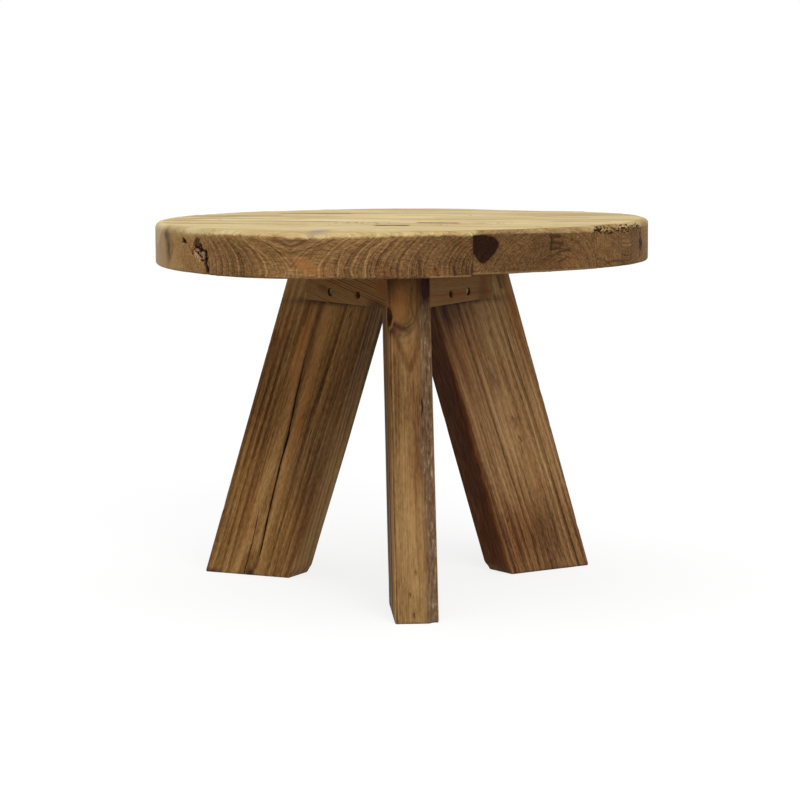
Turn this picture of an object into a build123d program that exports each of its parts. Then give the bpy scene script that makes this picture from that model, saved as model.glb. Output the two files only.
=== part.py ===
from build123d import *
import math
import os

# Coffee table: a round top of edge-glued planks on three splayed board legs.
# Millimetres. The origin is on the floor under the middle of the top, +Z is up,
# and the front leg points to -Y. Directions in plan are degrees from +X.

# Whole table
table_height = 450.0
top_diameter = 600.0
saw_overrun = 40.0  # how far every cutting shape runs past what it cuts

# Planks of the top
plank_thickness = 50.0
front_plank_extra = 5.0  # the front plank is this much thicker, on its underside
plank_angle = -19.5
top_arris_radius = 7.0
under_arris_radius = 3.5
# Each glued seam's distance from the middle, front to back, over the top's radius
seam_shares = (-0.850, -0.633, -0.423, -0.253, -0.037, 0.207, 0.407, 0.593, 0.787)

# Legs, each one board standing on edge along a radius, named anticlockwise
leg_names = ("front", "right", "left")
front_leg_angle = -90.0
leg_thickness = 51.0
leg_width = 116.0  # square to the sloping edges
leg_splay = 18.2  # degrees from upright
leg_arris_radius = 3.0
leg_head_clearance = 0.3  # past the place where the three heads would touch

# Bark edge that runs down the front leg's right outer arris
wane_on_edge = 8.5
wane_on_side = 6.0

# Hollow of a fallen knot in the front leg's left outer arris
scoop_drop = 58.0  # below the head of the leg
scoop_length = 30.0
scoop_depth = 6.0

# Corner blocks, each half a gap anticlockwise of the leg with its place in the list
block_names = ("right", "back", "left")
block_face_distance = 81.0  # outer face to the middle of the table
block_depth = 50.0
block_height = 50.0
block_arris_radius = 1.5

# Screws, all with the same head and shank
shank_diameter = 5.0
head_diameter = 9.2
head_rim = 0.8
head_cone_diameter = 7.6  # widest part of the cone under the head's rim
tip_length = 6.0
drive_length = 5.2
drive_width = 1.1
drive_depth = 1.8
shank_clearance = 0.3
head_clearance = 0.4
tip_clearance = 1.0

# Screws from the blocks' faces into the legs, square to the legs' sides
block_screw_stop = 1.4  # least distance of a tip from the middle of its leg
block_screw_rise = 12.0  # above the block's underside
block_screw_counterbore = 7.0
# Each screw's place on its block's face, from its middle over the face's half-length,
# the one on the anticlockwise side first
block_screw_shares = {"right": (0.226, 0.308), "back": (0.320, 0.300), "left": (0.307, 0.376)}

# Screws up through the blocks into the planks
top_screw_cover = 10.0  # wood left over the tip
top_screw_counterbore = 10.0
top_screw_share = 0.582  # place to each side of the block's middle, over the face's half-length

# Worked out from the sizes above
top_radius = top_diameter / 2
underside_height = table_height - plank_thickness
right_angle = 90.0
half_gap_angle = 2 * right_angle / len(leg_names)  # from a leg's direction to a block's
leg_angles = {
    name: front_leg_angle + 2 * place * half_gap_angle for place, name in enumerate(leg_names)
}
block_angles = {
    name: leg_angles[leg] + half_gap_angle for name, leg in zip(block_names, leg_names)
}
leg_run = leg_width / math.cos(math.radians(leg_splay))  # the leg's width along the floor
leg_inner_reach = leg_thickness / 2 / math.tan(math.radians(half_gap_angle)) + leg_head_clearance
leg_outer_reach = leg_inner_reach + leg_run
block_underside_height = underside_height - block_height
shank_hole_radius = shank_diameter / 2 + shank_clearance
counterbore_radius = head_diameter / 2 + head_clearance
countersink_mouth_radius = head_cone_diameter / 2 + shank_clearance
countersink_angle = 90.0
top_screw_length = block_height - top_screw_counterbore + plank_thickness - top_screw_cover


def along(direction):
    """Unit vector in plan along a direction."""
    return Vector(math.cos(math.radians(direction)), math.sin(math.radians(direction)), 0)


def block_half_width(distance):
    """Half the gap between neighbouring legs, at a distance out along a block's direction."""
    gap = math.radians(half_gap_angle)
    return (distance * math.sin(gap) - leg_thickness / 2) / math.cos(gap)


def block_end_distance(offset):
    """Distance out at which a line to one side of the block's middle meets the leg."""
    gap = math.radians(half_gap_angle)
    return (offset * math.cos(gap) + leg_thickness / 2) / math.sin(gap)


block_half_length = block_half_width(block_face_distance)


def wood_before_leg(share):
    """Length of a face screw's way through its block, square to the leg it enters."""
    gap = math.radians(half_gap_angle)
    to_leg_middle = block_face_distance * math.sin(gap) - share * block_half_length * math.cos(gap)
    return to_leg_middle - leg_thickness / 2


# The face screw nearest a block's end goes deepest, and all have its length
deepest_share = max(share for pair in block_screw_shares.values() for share in pair)
block_screw_length = (
    wood_before_leg(deepest_share) - block_screw_counterbore + leg_thickness / 2 - block_screw_stop
)


def mouth_planes_in_face(name):
    """Planes of a block's two face screws, on the face, facing out along each screw."""
    direction = block_angles[name]
    height = block_underside_height + block_screw_rise
    planes = []
    for side, share in zip((1, -1), block_screw_shares[name]):
        offset = side * share * block_half_length
        out_of_leg = along(direction + side * (half_gap_angle - right_angle))
        mouth = (
            along(direction) * block_face_distance
            + along(direction + right_angle) * offset
            + Vector(0, 0, height)
        )
        planes.append(Plane(origin=mouth, x_dir=(0, 0, 1), z_dir=out_of_leg))
    return planes


def mouth_planes_below(name):
    """Planes of a block's two upright screws, on its underside, facing down."""
    direction = block_angles[name]
    offset = top_screw_share * block_half_length
    distance = (block_face_distance + block_end_distance(offset)) / 2
    planes = []
    for side in (1, -1):
        mouth = (
            along(direction) * distance
            + along(direction + right_angle) * side * offset
            + Vector(0, 0, block_underside_height)
        )
        planes.append(Plane(origin=mouth, x_dir=along(direction), z_dir=(0, 0, -1)))
    return planes


face_screw_seats = [
    plane.offset(-block_screw_counterbore)
    for name in block_angles
    for plane in mouth_planes_in_face(name)
]
top_screw_seats = [
    plane.offset(-top_screw_counterbore)
    for name in block_angles
    for plane in mouth_planes_below(name)
]


def save(piece, name):
    piece.part.label = name
    export_step(piece.part, f"parts/{name}.step")


def make_plank(near_seam, far_seam, thickness):
    """One plank of the round top, between two seams given from the middle."""
    with BuildPart() as plank:
        with BuildSketch(Plane.XZ) as section:
            with Locations((0, table_height)):
                Rectangle(top_radius, thickness, align=(Align.MIN, Align.MAX))
            fillet(section.vertices().group_by(Axis.X)[-1].sort_by(Axis.Y)[0], under_arris_radius)
            fillet(section.vertices().group_by(Axis.X)[-1].sort_by(Axis.Y)[-1], top_arris_radius)
        revolve(axis=Axis.Z)
        board = Plane(
            origin=(0, 0, table_height - thickness),
            x_dir=along(plank_angle),
            z_dir=(0, 0, 1),
        )
        with BuildSketch(board):
            with Locations((0, (near_seam + far_seam) / 2)):
                Rectangle(top_diameter + saw_overrun, far_seam - near_seam)
        extrude(amount=thickness, mode=Mode.INTERSECT)
        for seat in top_screw_seats:
            with Locations(seat):
                Hole(shank_hole_radius, top_screw_length + tip_clearance)
    return plank


def make_leg(name):
    """One leg board, sawn level under the top and at the floor, with its screw holes."""
    direction = leg_angles[name]
    splay = math.radians(leg_splay)
    down_the_leg = along(direction) * math.sin(splay) - Vector(0, 0, math.cos(splay))
    across_the_leg = along(direction) * math.cos(splay) + Vector(0, 0, math.sin(splay))
    head_middle = along(direction) * (leg_inner_reach + leg_run / 2) + Vector(0, 0, underside_height)
    foot_reach = leg_outer_reach + underside_height * math.tan(splay)
    with BuildPart() as leg:
        with BuildSketch(Plane(origin=head_middle, x_dir=across_the_leg, z_dir=down_the_leg)) as board:
            Rectangle(leg_width, leg_thickness)
            to_wane = Axis((0, 0, 0), (leg_width, -leg_thickness, 0))
            corners = board.vertices().sort_by(to_wane)
            if name == "front":
                fillet(corners[:-1], leg_arris_radius)
                chamfer(board.vertices().sort_by(to_wane)[-1], wane_on_side, wane_on_edge)
            else:
                fillet(corners, leg_arris_radius)
        extrude(amount=underside_height / math.cos(splay) + leg_width, both=True)
        Box(
            2 * (foot_reach + saw_overrun),
            2 * (foot_reach + saw_overrun),
            underside_height,
            align=(Align.CENTER, Align.CENTER, Align.MIN),
            mode=Mode.INTERSECT,
        )
        for seat in face_screw_seats:
            with Locations(seat):
                Hole(shank_hole_radius, block_screw_length + tip_clearance)
        if name == "front":
            scoop_radius = ((scoop_length / 2) ** 2 + scoop_depth**2) / (2 * scoop_depth)
            clear_of_arris = (scoop_radius - scoop_depth) / math.sqrt(2)
            reach = leg_outer_reach + scoop_drop * math.tan(splay) + clear_of_arris
            left = direction - right_angle
            with Locations(
                along(direction) * reach
                + along(left) * (leg_thickness / 2 + clear_of_arris)
                + Vector(0, 0, underside_height - scoop_drop)
            ):
                Sphere(scoop_radius, mode=Mode.SUBTRACT)
    return leg


def cut_screw_way(mouth, counterbore_depth, screw_length):
    """Cut the counterbore, countersink and shank hole of one screw out of the open part."""
    with Locations(mouth):
        CounterBoreHole(
            shank_hole_radius,
            counterbore_radius,
            counterbore_depth,
            counterbore_depth + screw_length,
        )
    with Locations(mouth.offset(-counterbore_depth)):
        CounterSinkHole(
            shank_hole_radius,
            countersink_mouth_radius,
            counterbore_depth,
            countersink_angle,
        )


def make_block(name):
    """One corner block, its ends mitred to the sides of the legs beside it."""
    direction = block_angles[name]
    inner_distance = block_face_distance - block_depth
    with BuildPart() as block:
        with BuildSketch(
            Plane(
                origin=(0, 0, block_underside_height),
                x_dir=along(direction),
                z_dir=(0, 0, 1),
            )
        ):
            with BuildLine():
                Polyline(
                    (block_face_distance, block_half_length),
                    (inner_distance, block_half_width(inner_distance)),
                    (inner_distance, -block_half_width(inner_distance)),
                    (block_face_distance, -block_half_length),
                    close=True,
                )
            make_face()
        extrude(amount=block_height)
        outward = Axis((0, 0, 0), along(direction))
        face = block.faces().sort_by(outward)[-1]
        fillet(face.edges().sort_by(Axis.Z)[0], block_arris_radius)
        for mouth in mouth_planes_in_face(name):
            cut_screw_way(mouth, block_screw_counterbore, block_screw_length)
        for mouth in mouth_planes_below(name):
            cut_screw_way(mouth, top_screw_counterbore, top_screw_length)
    return block


def make_screw(length):
    """One screw along Z, the seat of its head's rim at zero and its tip down."""
    with BuildPart() as screw:
        with BuildSketch(Plane.XZ):
            with BuildLine():
                Polyline(
                    (0, head_rim),
                    (head_diameter / 2, head_rim),
                    (head_diameter / 2, 0),
                    (head_cone_diameter / 2, 0),
                    (shank_diameter / 2, -(head_cone_diameter - shank_diameter) / 2),
                    (shank_diameter / 2, -(length - tip_length)),
                    (0, -length),
                    close=True,
                )
            make_face()
        revolve(axis=Axis.Z)
        with BuildSketch(Plane.XY.offset(head_rim)):
            Rectangle(drive_length, drive_width)
            Rectangle(drive_width, drive_length)
        extrude(amount=-drive_depth, mode=Mode.SUBTRACT)
    return screw


def make_screw_set(length, seats):
    """Separate screws of one length, one in each seat."""
    screw = make_screw(length)
    with BuildPart() as screws:
        for seat in seats:
            with Locations(seat):
                add(screw.part)
    return screws


os.makedirs("parts", exist_ok=True)

# Planks, numbered from the front one
rim_reach = top_radius + saw_overrun
seams = [-rim_reach, *(share * top_radius for share in seam_shares), rim_reach]
for number, (near_seam, far_seam) in enumerate(zip(seams[:-1], seams[1:]), start=1):
    thickness = plank_thickness
    if number == 1:
        thickness += front_plank_extra
    save(make_plank(near_seam, far_seam, thickness), f"top_plank_{number}")

# Legs
for name in leg_angles:
    save(make_leg(name), f"leg_{name}")

# Corner blocks
for name in block_angles:
    save(make_block(name), f"corner_block_{name}")

# Screws
save(make_screw_set(block_screw_length, face_screw_seats), "block_screws")
save(make_screw_set(top_screw_length, top_screw_seats), "top_screws")
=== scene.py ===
import math

import bpy
import numpy as np
from mathutils import Matrix, Vector
from mathutils.geometry import delaunay_2d_cdt


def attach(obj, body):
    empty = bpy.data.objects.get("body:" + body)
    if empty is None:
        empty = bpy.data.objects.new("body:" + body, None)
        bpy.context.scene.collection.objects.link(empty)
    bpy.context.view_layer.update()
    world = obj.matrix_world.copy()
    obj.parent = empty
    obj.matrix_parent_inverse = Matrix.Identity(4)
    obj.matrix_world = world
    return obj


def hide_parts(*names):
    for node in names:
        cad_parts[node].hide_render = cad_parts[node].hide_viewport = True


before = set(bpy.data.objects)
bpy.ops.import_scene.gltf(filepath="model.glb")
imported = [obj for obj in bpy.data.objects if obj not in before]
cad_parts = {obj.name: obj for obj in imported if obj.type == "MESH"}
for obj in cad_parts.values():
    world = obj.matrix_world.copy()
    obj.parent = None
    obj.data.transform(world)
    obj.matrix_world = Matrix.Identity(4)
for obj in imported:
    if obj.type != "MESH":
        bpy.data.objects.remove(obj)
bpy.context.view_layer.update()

# Coffee table of reclaimed wood. Mesh work is in millimetres in the CAD frame, and
# goes to metres when a mesh is made. Rim places are azimuths from the front, in
# degrees, growing to the right in the photograph, with a height above the floor.

MM = 0.001

# ---------------------------------------------------------------- sizes of the frame
TOP_R = 300.0
TOP_Z = 450.0
UNDER_Z = 400.0
PLANK_DEGREES = -19.5
FRONT_PLANK_DEGREES = -27.5  # the grain of the front plank runs aslant
PLANK_ANGLE = math.radians(PLANK_DEGREES)
SEAMS = [share * TOP_R for share in (-0.850, -0.633, -0.423, -0.253, -0.037, 0.207, 0.407, 0.593, 0.787)]
CUSP_AT = -27.8  # azimuth at which the front plank's growth rings come to a point
LEG_W = 116.0
LEG_T = 51.0
SPLAY = math.radians(18.2)
LEG_INNER = 15.02  # from the middle to a leg's inner edge under the top
INNER_GROWTH = ((0, 400), (1.3, 1.3))  # of a leg that has no growth of its own
LEG_ANGLES = {"front": -90.0, "right": 30.0, "left": 150.0}
BLOCK_ANGLES = {"right": -30.0, "back": 90.0, "left": 210.0}


# ---------------------------------------------------------------- camera
def make_camera():
    """The camera fitted to the photograph. Angles are in radians."""
    focal_px = 2863.1
    frame_px = 800.0
    data = bpy.data.cameras.new("camera")
    data.sensor_width = 36.0
    data.lens = focal_px / frame_px * data.sensor_width
    data.shift_x = -1.9 / frame_px
    data.shift_y = 0.5 / frame_px
    data.clip_end = 100.0
    camera = bpy.data.objects.new("camera", data)
    bpy.context.scene.collection.objects.link(camera)
    heading = Matrix.Rotation(-0.0584, 4, "Z")
    pitch = Matrix.Rotation(math.pi / 2 - 0.1101, 4, "X")
    roll = Matrix.Rotation(-0.0066, 4, "Z")
    place = Matrix.Translation(Vector((-203.6, -3481.6, 612.84)) * MM)
    camera.matrix_world = place @ heading @ pitch @ roll
    bpy.context.scene.camera = camera


make_camera()

# ---------------------------------------------------------------- numbers from noise
LATTICE = np.random.default_rng(11).random(4096)


def smooth(x, low, high):
    """0 below low, 1 above high and a smooth step between."""
    t = np.clip((np.asarray(x, float) - low) / (high - low), 0, 1)
    return t * t * (3 - 2 * t)


def noise(points, seed):
    """Value noise from 0 to 1 on an (n, 3) array, period 1."""
    points = np.asarray(points, float) + seed * 17.31
    cell = np.floor(points).astype(np.int64)
    part = points - cell
    part = part * part * (3 - 2 * part)
    total = 0
    for dx in (0, 1):
        for dy in (0, 1):
            for dz in (0, 1):
                weight = np.ones(len(points))
                for axis, step in enumerate((dx, dy, dz)):
                    weight = weight * (part[:, axis] if step else 1 - part[:, axis])
                key = (cell[:, 0] + dx) * 73 + (cell[:, 1] + dy) * 179 + (cell[:, 2] + dz) * 1283
                total = total + weight * LATTICE[(key * 2654435761 >> 7) & 4095]
    return total


def fractal(points, seed, octaves):
    """Noise from 0 to 1 with finer and weaker octaves on it."""
    points = np.asarray(points, float)
    total = 0
    scale = 0
    for octave in range(octaves):
        total = total + noise(points * 2**octave, seed + octave) / 2**octave
        scale += 1 / 2**octave
    return total / scale


def blob(points, centre, size):
    """1 at the centre, falling off over the given sizes."""
    away = (np.asarray(points) - np.asarray(centre)) / np.asarray(size)
    return np.exp(-(away**2).sum(1))


def stroke(points, path, width):
    """1 along a polyline, falling off to 0 at the given half width."""
    path = np.asarray(path, float)
    best = np.full(len(points), np.inf)
    for a, b in zip(path[:-1], path[1:]):
        ab = b - a
        t = np.clip(((points - a) @ ab) / (ab @ ab), 0, 1)
        best = np.minimum(best, np.linalg.norm(points - a - t[:, None] * ab, axis=1))
    return 1 - smooth(best, 0.25 * width, width)


def stronger(a, b):
    """Whichever lies further from zero."""
    return np.where(np.abs(b) > np.abs(a), b, a)


def noise_points(a, b=0.0):
    """Points for the noise from one or two coordinates."""
    return np.stack([a, b + 0 * a, 0 * a], 1)


# ---------------------------------------------------------------- meshes from arrays
# The dark channel holds painted shade in cuts, and the dark seam joints. The grime channel holds grime and painted
# shadow, and the tone and mark channels carry some painted light and shade besides the wood's own tone and marks.
CHANNELS = ("sand", "dark", "knot", "bulge", "warm", "grime", "tone", "broken", "mark", "bark")
# Where the channels that hold distances, sand and knot, are cut off
FAR = 30.0


def make_object(name, points, faces, channels, sharp=35.0):
    """A smooth mesh with its channels. Edges sharper than the angle in degrees stay."""
    mesh = bpy.data.meshes.new(name)
    loops = np.concatenate([np.asarray(f, np.int32) for f in faces])
    counts = np.array([len(f) for f in faces], np.int32)
    starts = np.concatenate([[0], np.cumsum(counts)[:-1]]).astype(np.int32)
    mesh.vertices.add(len(points))
    mesh.vertices.foreach_set("co", (np.asarray(points) * MM).astype(np.float32).ravel())
    mesh.loops.add(len(loops))
    mesh.loops.foreach_set("vertex_index", loops)
    mesh.polygons.add(len(faces))
    mesh.polygons.foreach_set("loop_start", starts)
    mesh.polygons.foreach_set("loop_total", counts)
    mesh.update(calc_edges=True)
    mesh.validate()
    for channel in CHANNELS:
        values = channels.get(channel)
        if values is None:
            values = np.full(len(points), -FAR if channel in ("knot", "sand") else 0.0)
        layer = mesh.attributes.new(channel, "FLOAT", "POINT")
        layer.data.foreach_set("value", np.asarray(values, np.float32))
    mesh.shade_smooth()
    mesh.set_sharp_from_angle(angle=math.radians(sharp))
    piece = bpy.data.objects.new(name, mesh)
    bpy.context.scene.collection.objects.link(piece)
    return piece


def grid_faces(index, flip=False):
    """Quads of a 2-D array of vertex numbers."""
    a, b = index[:-1, :-1], index[:-1, 1:]
    c, d = index[1:, 1:], index[1:, :-1]
    quads = np.stack([a, b, c, d], -1).reshape(-1, 4)
    return quads[:, ::-1] if flip else quads


# ---------------------------------------------------------------- legs
class Leg:
    """Board frame of a leg: x across its width from the inner edge, y through its
    thickness, anticlockwise positive, z the height above the floor."""

    def __init__(self, name):
        angle = math.radians(LEG_ANGLES[name])
        self.out = np.array([math.cos(angle), math.sin(angle), 0])
        self.side = np.array([-math.sin(angle), math.cos(angle), 0])
        self.down = self.out * math.sin(SPLAY) - np.array([0, 0, math.cos(SPLAY)])
        self.across = self.out * math.cos(SPLAY) + np.array([0, 0, math.sin(SPLAY)])
        self.head = self.out * LEG_INNER + np.array([0, 0, UNDER_Z])

    def world(self, x, y, z):
        reach = LEG_INNER + x / math.cos(SPLAY) + (UNDER_Z - z) * math.tan(SPLAY)
        flat = reach[..., None] * self.out + y[..., None] * self.side
        flat[..., 2] = z
        return flat


CRACK_OFFSETS = (0, 0.25, 0.5, 0.9, 1.4)
CRACK_CLEAR = 1.9


def spread(start, end, step, lines):
    """Places from start to end at about a step, closer together at the given lines."""
    count = max(2, int(round(abs(end - start) / step)) + 1)
    places = list(np.linspace(start, end, count))
    for line in lines:
        places = [p for p in places if abs(p - line) > CRACK_CLEAR or p in (start, end)]
        places += [line + sign * off for off in CRACK_OFFSETS for sign in (1, -1) if off or sign > 0]
    low, high = min(start, end), max(start, end)
    places = sorted({round(p, 4) for p in places if low <= p <= high})
    return np.array(places if end > start else places[::-1])


def path_at(path, z):
    """Place across the face at heights z of a path of (place, height) points."""
    pts = sorted(path, key=lambda p: p[1])
    return np.interp(z, [p[1] for p in pts], [p[0] for p in pts])


LEG_ARRIS = 3.0
LEG_STEP = 1.3
LEG_ROWS = np.concatenate([[0, 0.5, 1.4, 3.0], np.arange(5, 398, 2.2), [399.0, 400.0]])
# How far the foot's edge is worn back, by height
FOOT_WEAR = ([0, 0.5, 1.4, 3.0], [1.7, 0.9, 0.3, 0.0])
# The bark edge's reach over the outer face and over the broad one, and its roundness
WANE_WIDE = 8.5
WANE_DEEP = 6.0
WANE_ROUND = 0.9
CRACK_ENDS = 18
CRACK_PULL = 9.0


def leg_columns(lines, wane):
    """Columns of a leg's outline: face, place on it, x, y and outward normal. They stand
    closer together at the given lines of each face."""
    half = LEG_T / 2
    inset = LEG_ARRIS
    quarter = [(math.cos(math.radians(a)), math.sin(math.radians(a))) for a in (15, 30, 45, 60, 75)]

    def arris(cx, cy, normals):
        return [("", 0, cx + inset * nx, cy + inset * ny, nx, ny) for nx, ny in normals]

    columns = [("wide-", u, u, -half, 0, -1) for u in spread(inset, LEG_W - inset, LEG_STEP, lines["wide-"])]
    columns += arris(LEG_W - inset, -half + inset, [(s, -c) for c, s in quarter])
    outer_end = half - (WANE_WIDE if wane else inset)
    columns += [("outer", u, LEG_W, u, 1, 0) for u in spread(-half + inset, outer_end, LEG_STEP, lines["outer"])]
    if wane:
        columns += [("wane", k / 10, LEG_W, half, 0.8, 0.6) for k in range(1, 10)]
    else:
        columns += arris(LEG_W - inset, half - inset, quarter)
    wide_end = LEG_W - (WANE_DEEP if wane else inset)
    columns += [("wide+", u, u, half, 0, 1) for u in spread(wide_end, inset, LEG_STEP, lines["wide+"])]
    columns += arris(inset, half - inset, [(-s, c) for c, s in quarter])
    columns += [("inner", u, 0, u, -1, 0) for u in spread(half - inset, -half + inset, LEG_STEP, lines["inner"])]
    return columns + arris(inset, -half + inset, [(-c, -s) for c, s in quarter])


def make_leg(name, spec):
    """A leg's frame, and its board as rows of columns from the floor up to the head."""
    leg = Leg(name)
    half = LEG_T / 2
    rows = LEG_ROWS
    wane = spec.get("wane")
    by_face = {"wide+": [], "wide-": [], "outer": [], "inner": []}
    for crack in spec["cracks"]:
        by_face[crack["face"]].append((float(np.mean([p[0] for p in crack["path"]])), crack))
    columns = leg_columns({face: [middle for middle, _ in found] for face, found in by_face.items()}, wane)
    count = len(columns)
    z = np.repeat(rows[:, None], count, 1)
    x, y, nx, ny = (np.repeat(np.array([[c[k] for c in columns]], float), len(rows), 0) for k in (2, 3, 4, 5))
    depth = np.zeros_like(x)
    dark = np.zeros_like(x)

    # The bark edge wanders
    if wane:
        edge = path_at(wane, rows)
        outer_end = half - WANE_WIDE
        for j, (face, t, *_) in enumerate(columns):
            if face == "outer":
                y[:, j] += (edge - outer_end) * np.clip(t / outer_end, 0, 1)
            if face == "wane":
                y[:, j] = edge + (half - edge) * t
                x[:, j] = LEG_W - WANE_DEEP * t - WANE_ROUND * math.sin(math.pi * t)

    # Columns follow their cracks, and the cracks are cut in and darkened with painted shade
    for face, found in by_face.items():
        for middle, crack in found:
            shift = path_at(crack["path"], rows) - middle
            low = min(p[1] for p in crack["path"])
            high = max(p[1] for p in crack["path"])
            ends = crack.get("ends", CRACK_ENDS)
            along = 1 - smooth(rows, high - ends, high + 1)
            if low > 0.5:
                along = smooth(rows, low - 1, low + ends) * along
            jitter = 0.75 + 0.5 * noise(noise_points(rows / 9), 3)
            width = crack["width"] * (0.35 + 0.65 * along) * jitter
            moved = x if face in ("wide+", "wide-") else y
            for j, c in enumerate(columns):
                if c[0] != face:
                    continue
                away = c[1] - middle
                moved[:, j] += shift * math.exp(-((away / CRACK_PULL) ** 2))
                notch = np.clip(1 - abs(away) / width, 0, 1) ** 0.7 * along
                if "closes" in crack:
                    notch = notch * (1 - 0.8 * smooth(rows, *crack["closes"]))
                depth[:, j] += crack["depth"] * notch * jitter
                dark[:, j] = np.maximum(dark[:, j], np.clip(notch * 2.2, 0, 1) * crack.get("dark", 1.0))

    local = np.stack([x.ravel(), y.ravel(), z.ravel()], 1)
    # Planed but worn faces: slight waves, and chipped arrises
    wave = fractal(local / (60, 60, 190), 5, 2) - 0.25
    depth += 0.5 * np.clip(wave, 0, 1).reshape(x.shape)
    corner = np.minimum.reduce([np.hypot(x - cx, y - cy) for cx in (0, LEG_W) for cy in (-half, half)])
    chips = fractal(local / (9, 9, 26), 9, 3).reshape(x.shape)
    depth += (0.3 + smooth(x, 3, 12)) * smooth(chips, 0.60, 0.80) * (1 - smooth(corner, 1.5, 5.0))
    # Feet: the sawn edge is a little worn
    foot = np.interp(rows, *FOOT_WEAR)
    depth += foot[:, None] * (1 + 0.6 * (chips - 0.5))
    if wane:
        rough = fractal(local / (2.4, 2.4, 5.0), 13, 3).reshape(x.shape)
        is_bark = np.array([c[0] == "wane" for c in columns])[None, :]
        depth += np.where(is_bark, 1.5 * smooth(rough, 0.35, 0.75), 0)
    depth[rows >= UNDER_Z - 1.0] = 0
    x = x - nx * depth
    y = y - ny * depth
    hollow = np.zeros_like(x)
    if "hollow" in spec:
        # Wood inside a ball beside the arris is pushed out of it
        (cx, cy, cz), reach, stretch = spec["hollow"]
        away = np.sqrt((x - cx) ** 2 + (y - cy) ** 2 + ((z - cz) / stretch) ** 2) / reach
        push = np.where(away < 1, 1 / np.maximum(away, 0.05), 1)
        x, y = cx + (x - cx) * push, cy + (y - cy) * push
        hollow = (away < 1.0) * 1.05
    growth = np.interp(z, *spec.get("growth", INNER_GROWTH))
    x = x - growth * (1 - smooth(x, 0, 25)) * smooth(UNDER_Z - z, 8, 30) * smooth(z, 2, 12)
    points = leg.world(x, y, z).reshape(-1, 3)

    index = np.arange(len(rows) * count).reshape(len(rows), count)
    ring = np.concatenate([index, index[:, :1]], 1)
    faces = [list(q) for q in grid_faces(ring)]
    faces.append(list(index[0][::-1]))
    faces.append(list(index[-1]))

    local = np.stack([x.ravel(), y.ravel(), z.ravel()], 1)
    channels = {"dark": dark.ravel()}
    for channel in ("bulge", "warm", "grime", "tone"):
        channels[channel] = np.zeros(len(local))
        for centre, size, amount in spec[channel]:
            channels[channel] = channels[channel] + amount * blob(local, centre, size)
    mark = np.zeros(len(local))
    face_y = {"front": None, "left": half, "right": -half}[name]
    for path, width, amount in spec["marks"]:
        path = [(LEG_W, a, b) if face_y is None else (a, face_y, b) for a, b in path]
        mark = stronger(mark, stroke(local, path, width) * amount)
    # Stain blobs darken like marks; some are painted shade.
    for centre, size, amount in spec["stain_and_shade"]:
        mark = mark + amount * blob(local, centre, size)
    # The inside of the hollow is marked dark: painted shade in the scoop.
    channels["mark"] = np.maximum(mark, hollow.ravel())
    if wane:
        bark = np.array([smooth(c[1], 0.0, 0.25) if c[0] == "wane" else 0.0 for c in columns])
        bark = np.repeat(bark[None, :], len(rows), 0)
        edge_near = np.where(np.array([c[0] == "outer" for c in columns])[None, :],
                             0.75 * smooth(y - path_at(wane, rows)[:, None], -7.5, -1.0), 0)
        channels["bark"] = np.maximum(bark, edge_near).ravel()
    piece = make_object(f"leg_{name}_board", points, faces, channels)
    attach(piece, "root")
    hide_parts(f"leg_{name}")
    return leg, piece


WOBBLE = 0.6


def lean(x, z_top, z_low, slope):
    """A nearly upright line down a face, leaning by the slope."""
    zs = np.linspace(z_top, z_low, 14)
    phase = x * 1.7
    return [(x + (z_top - z) * slope + WOBBLE * math.sin(z / 23.0 + phase), z) for z in zs]


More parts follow.
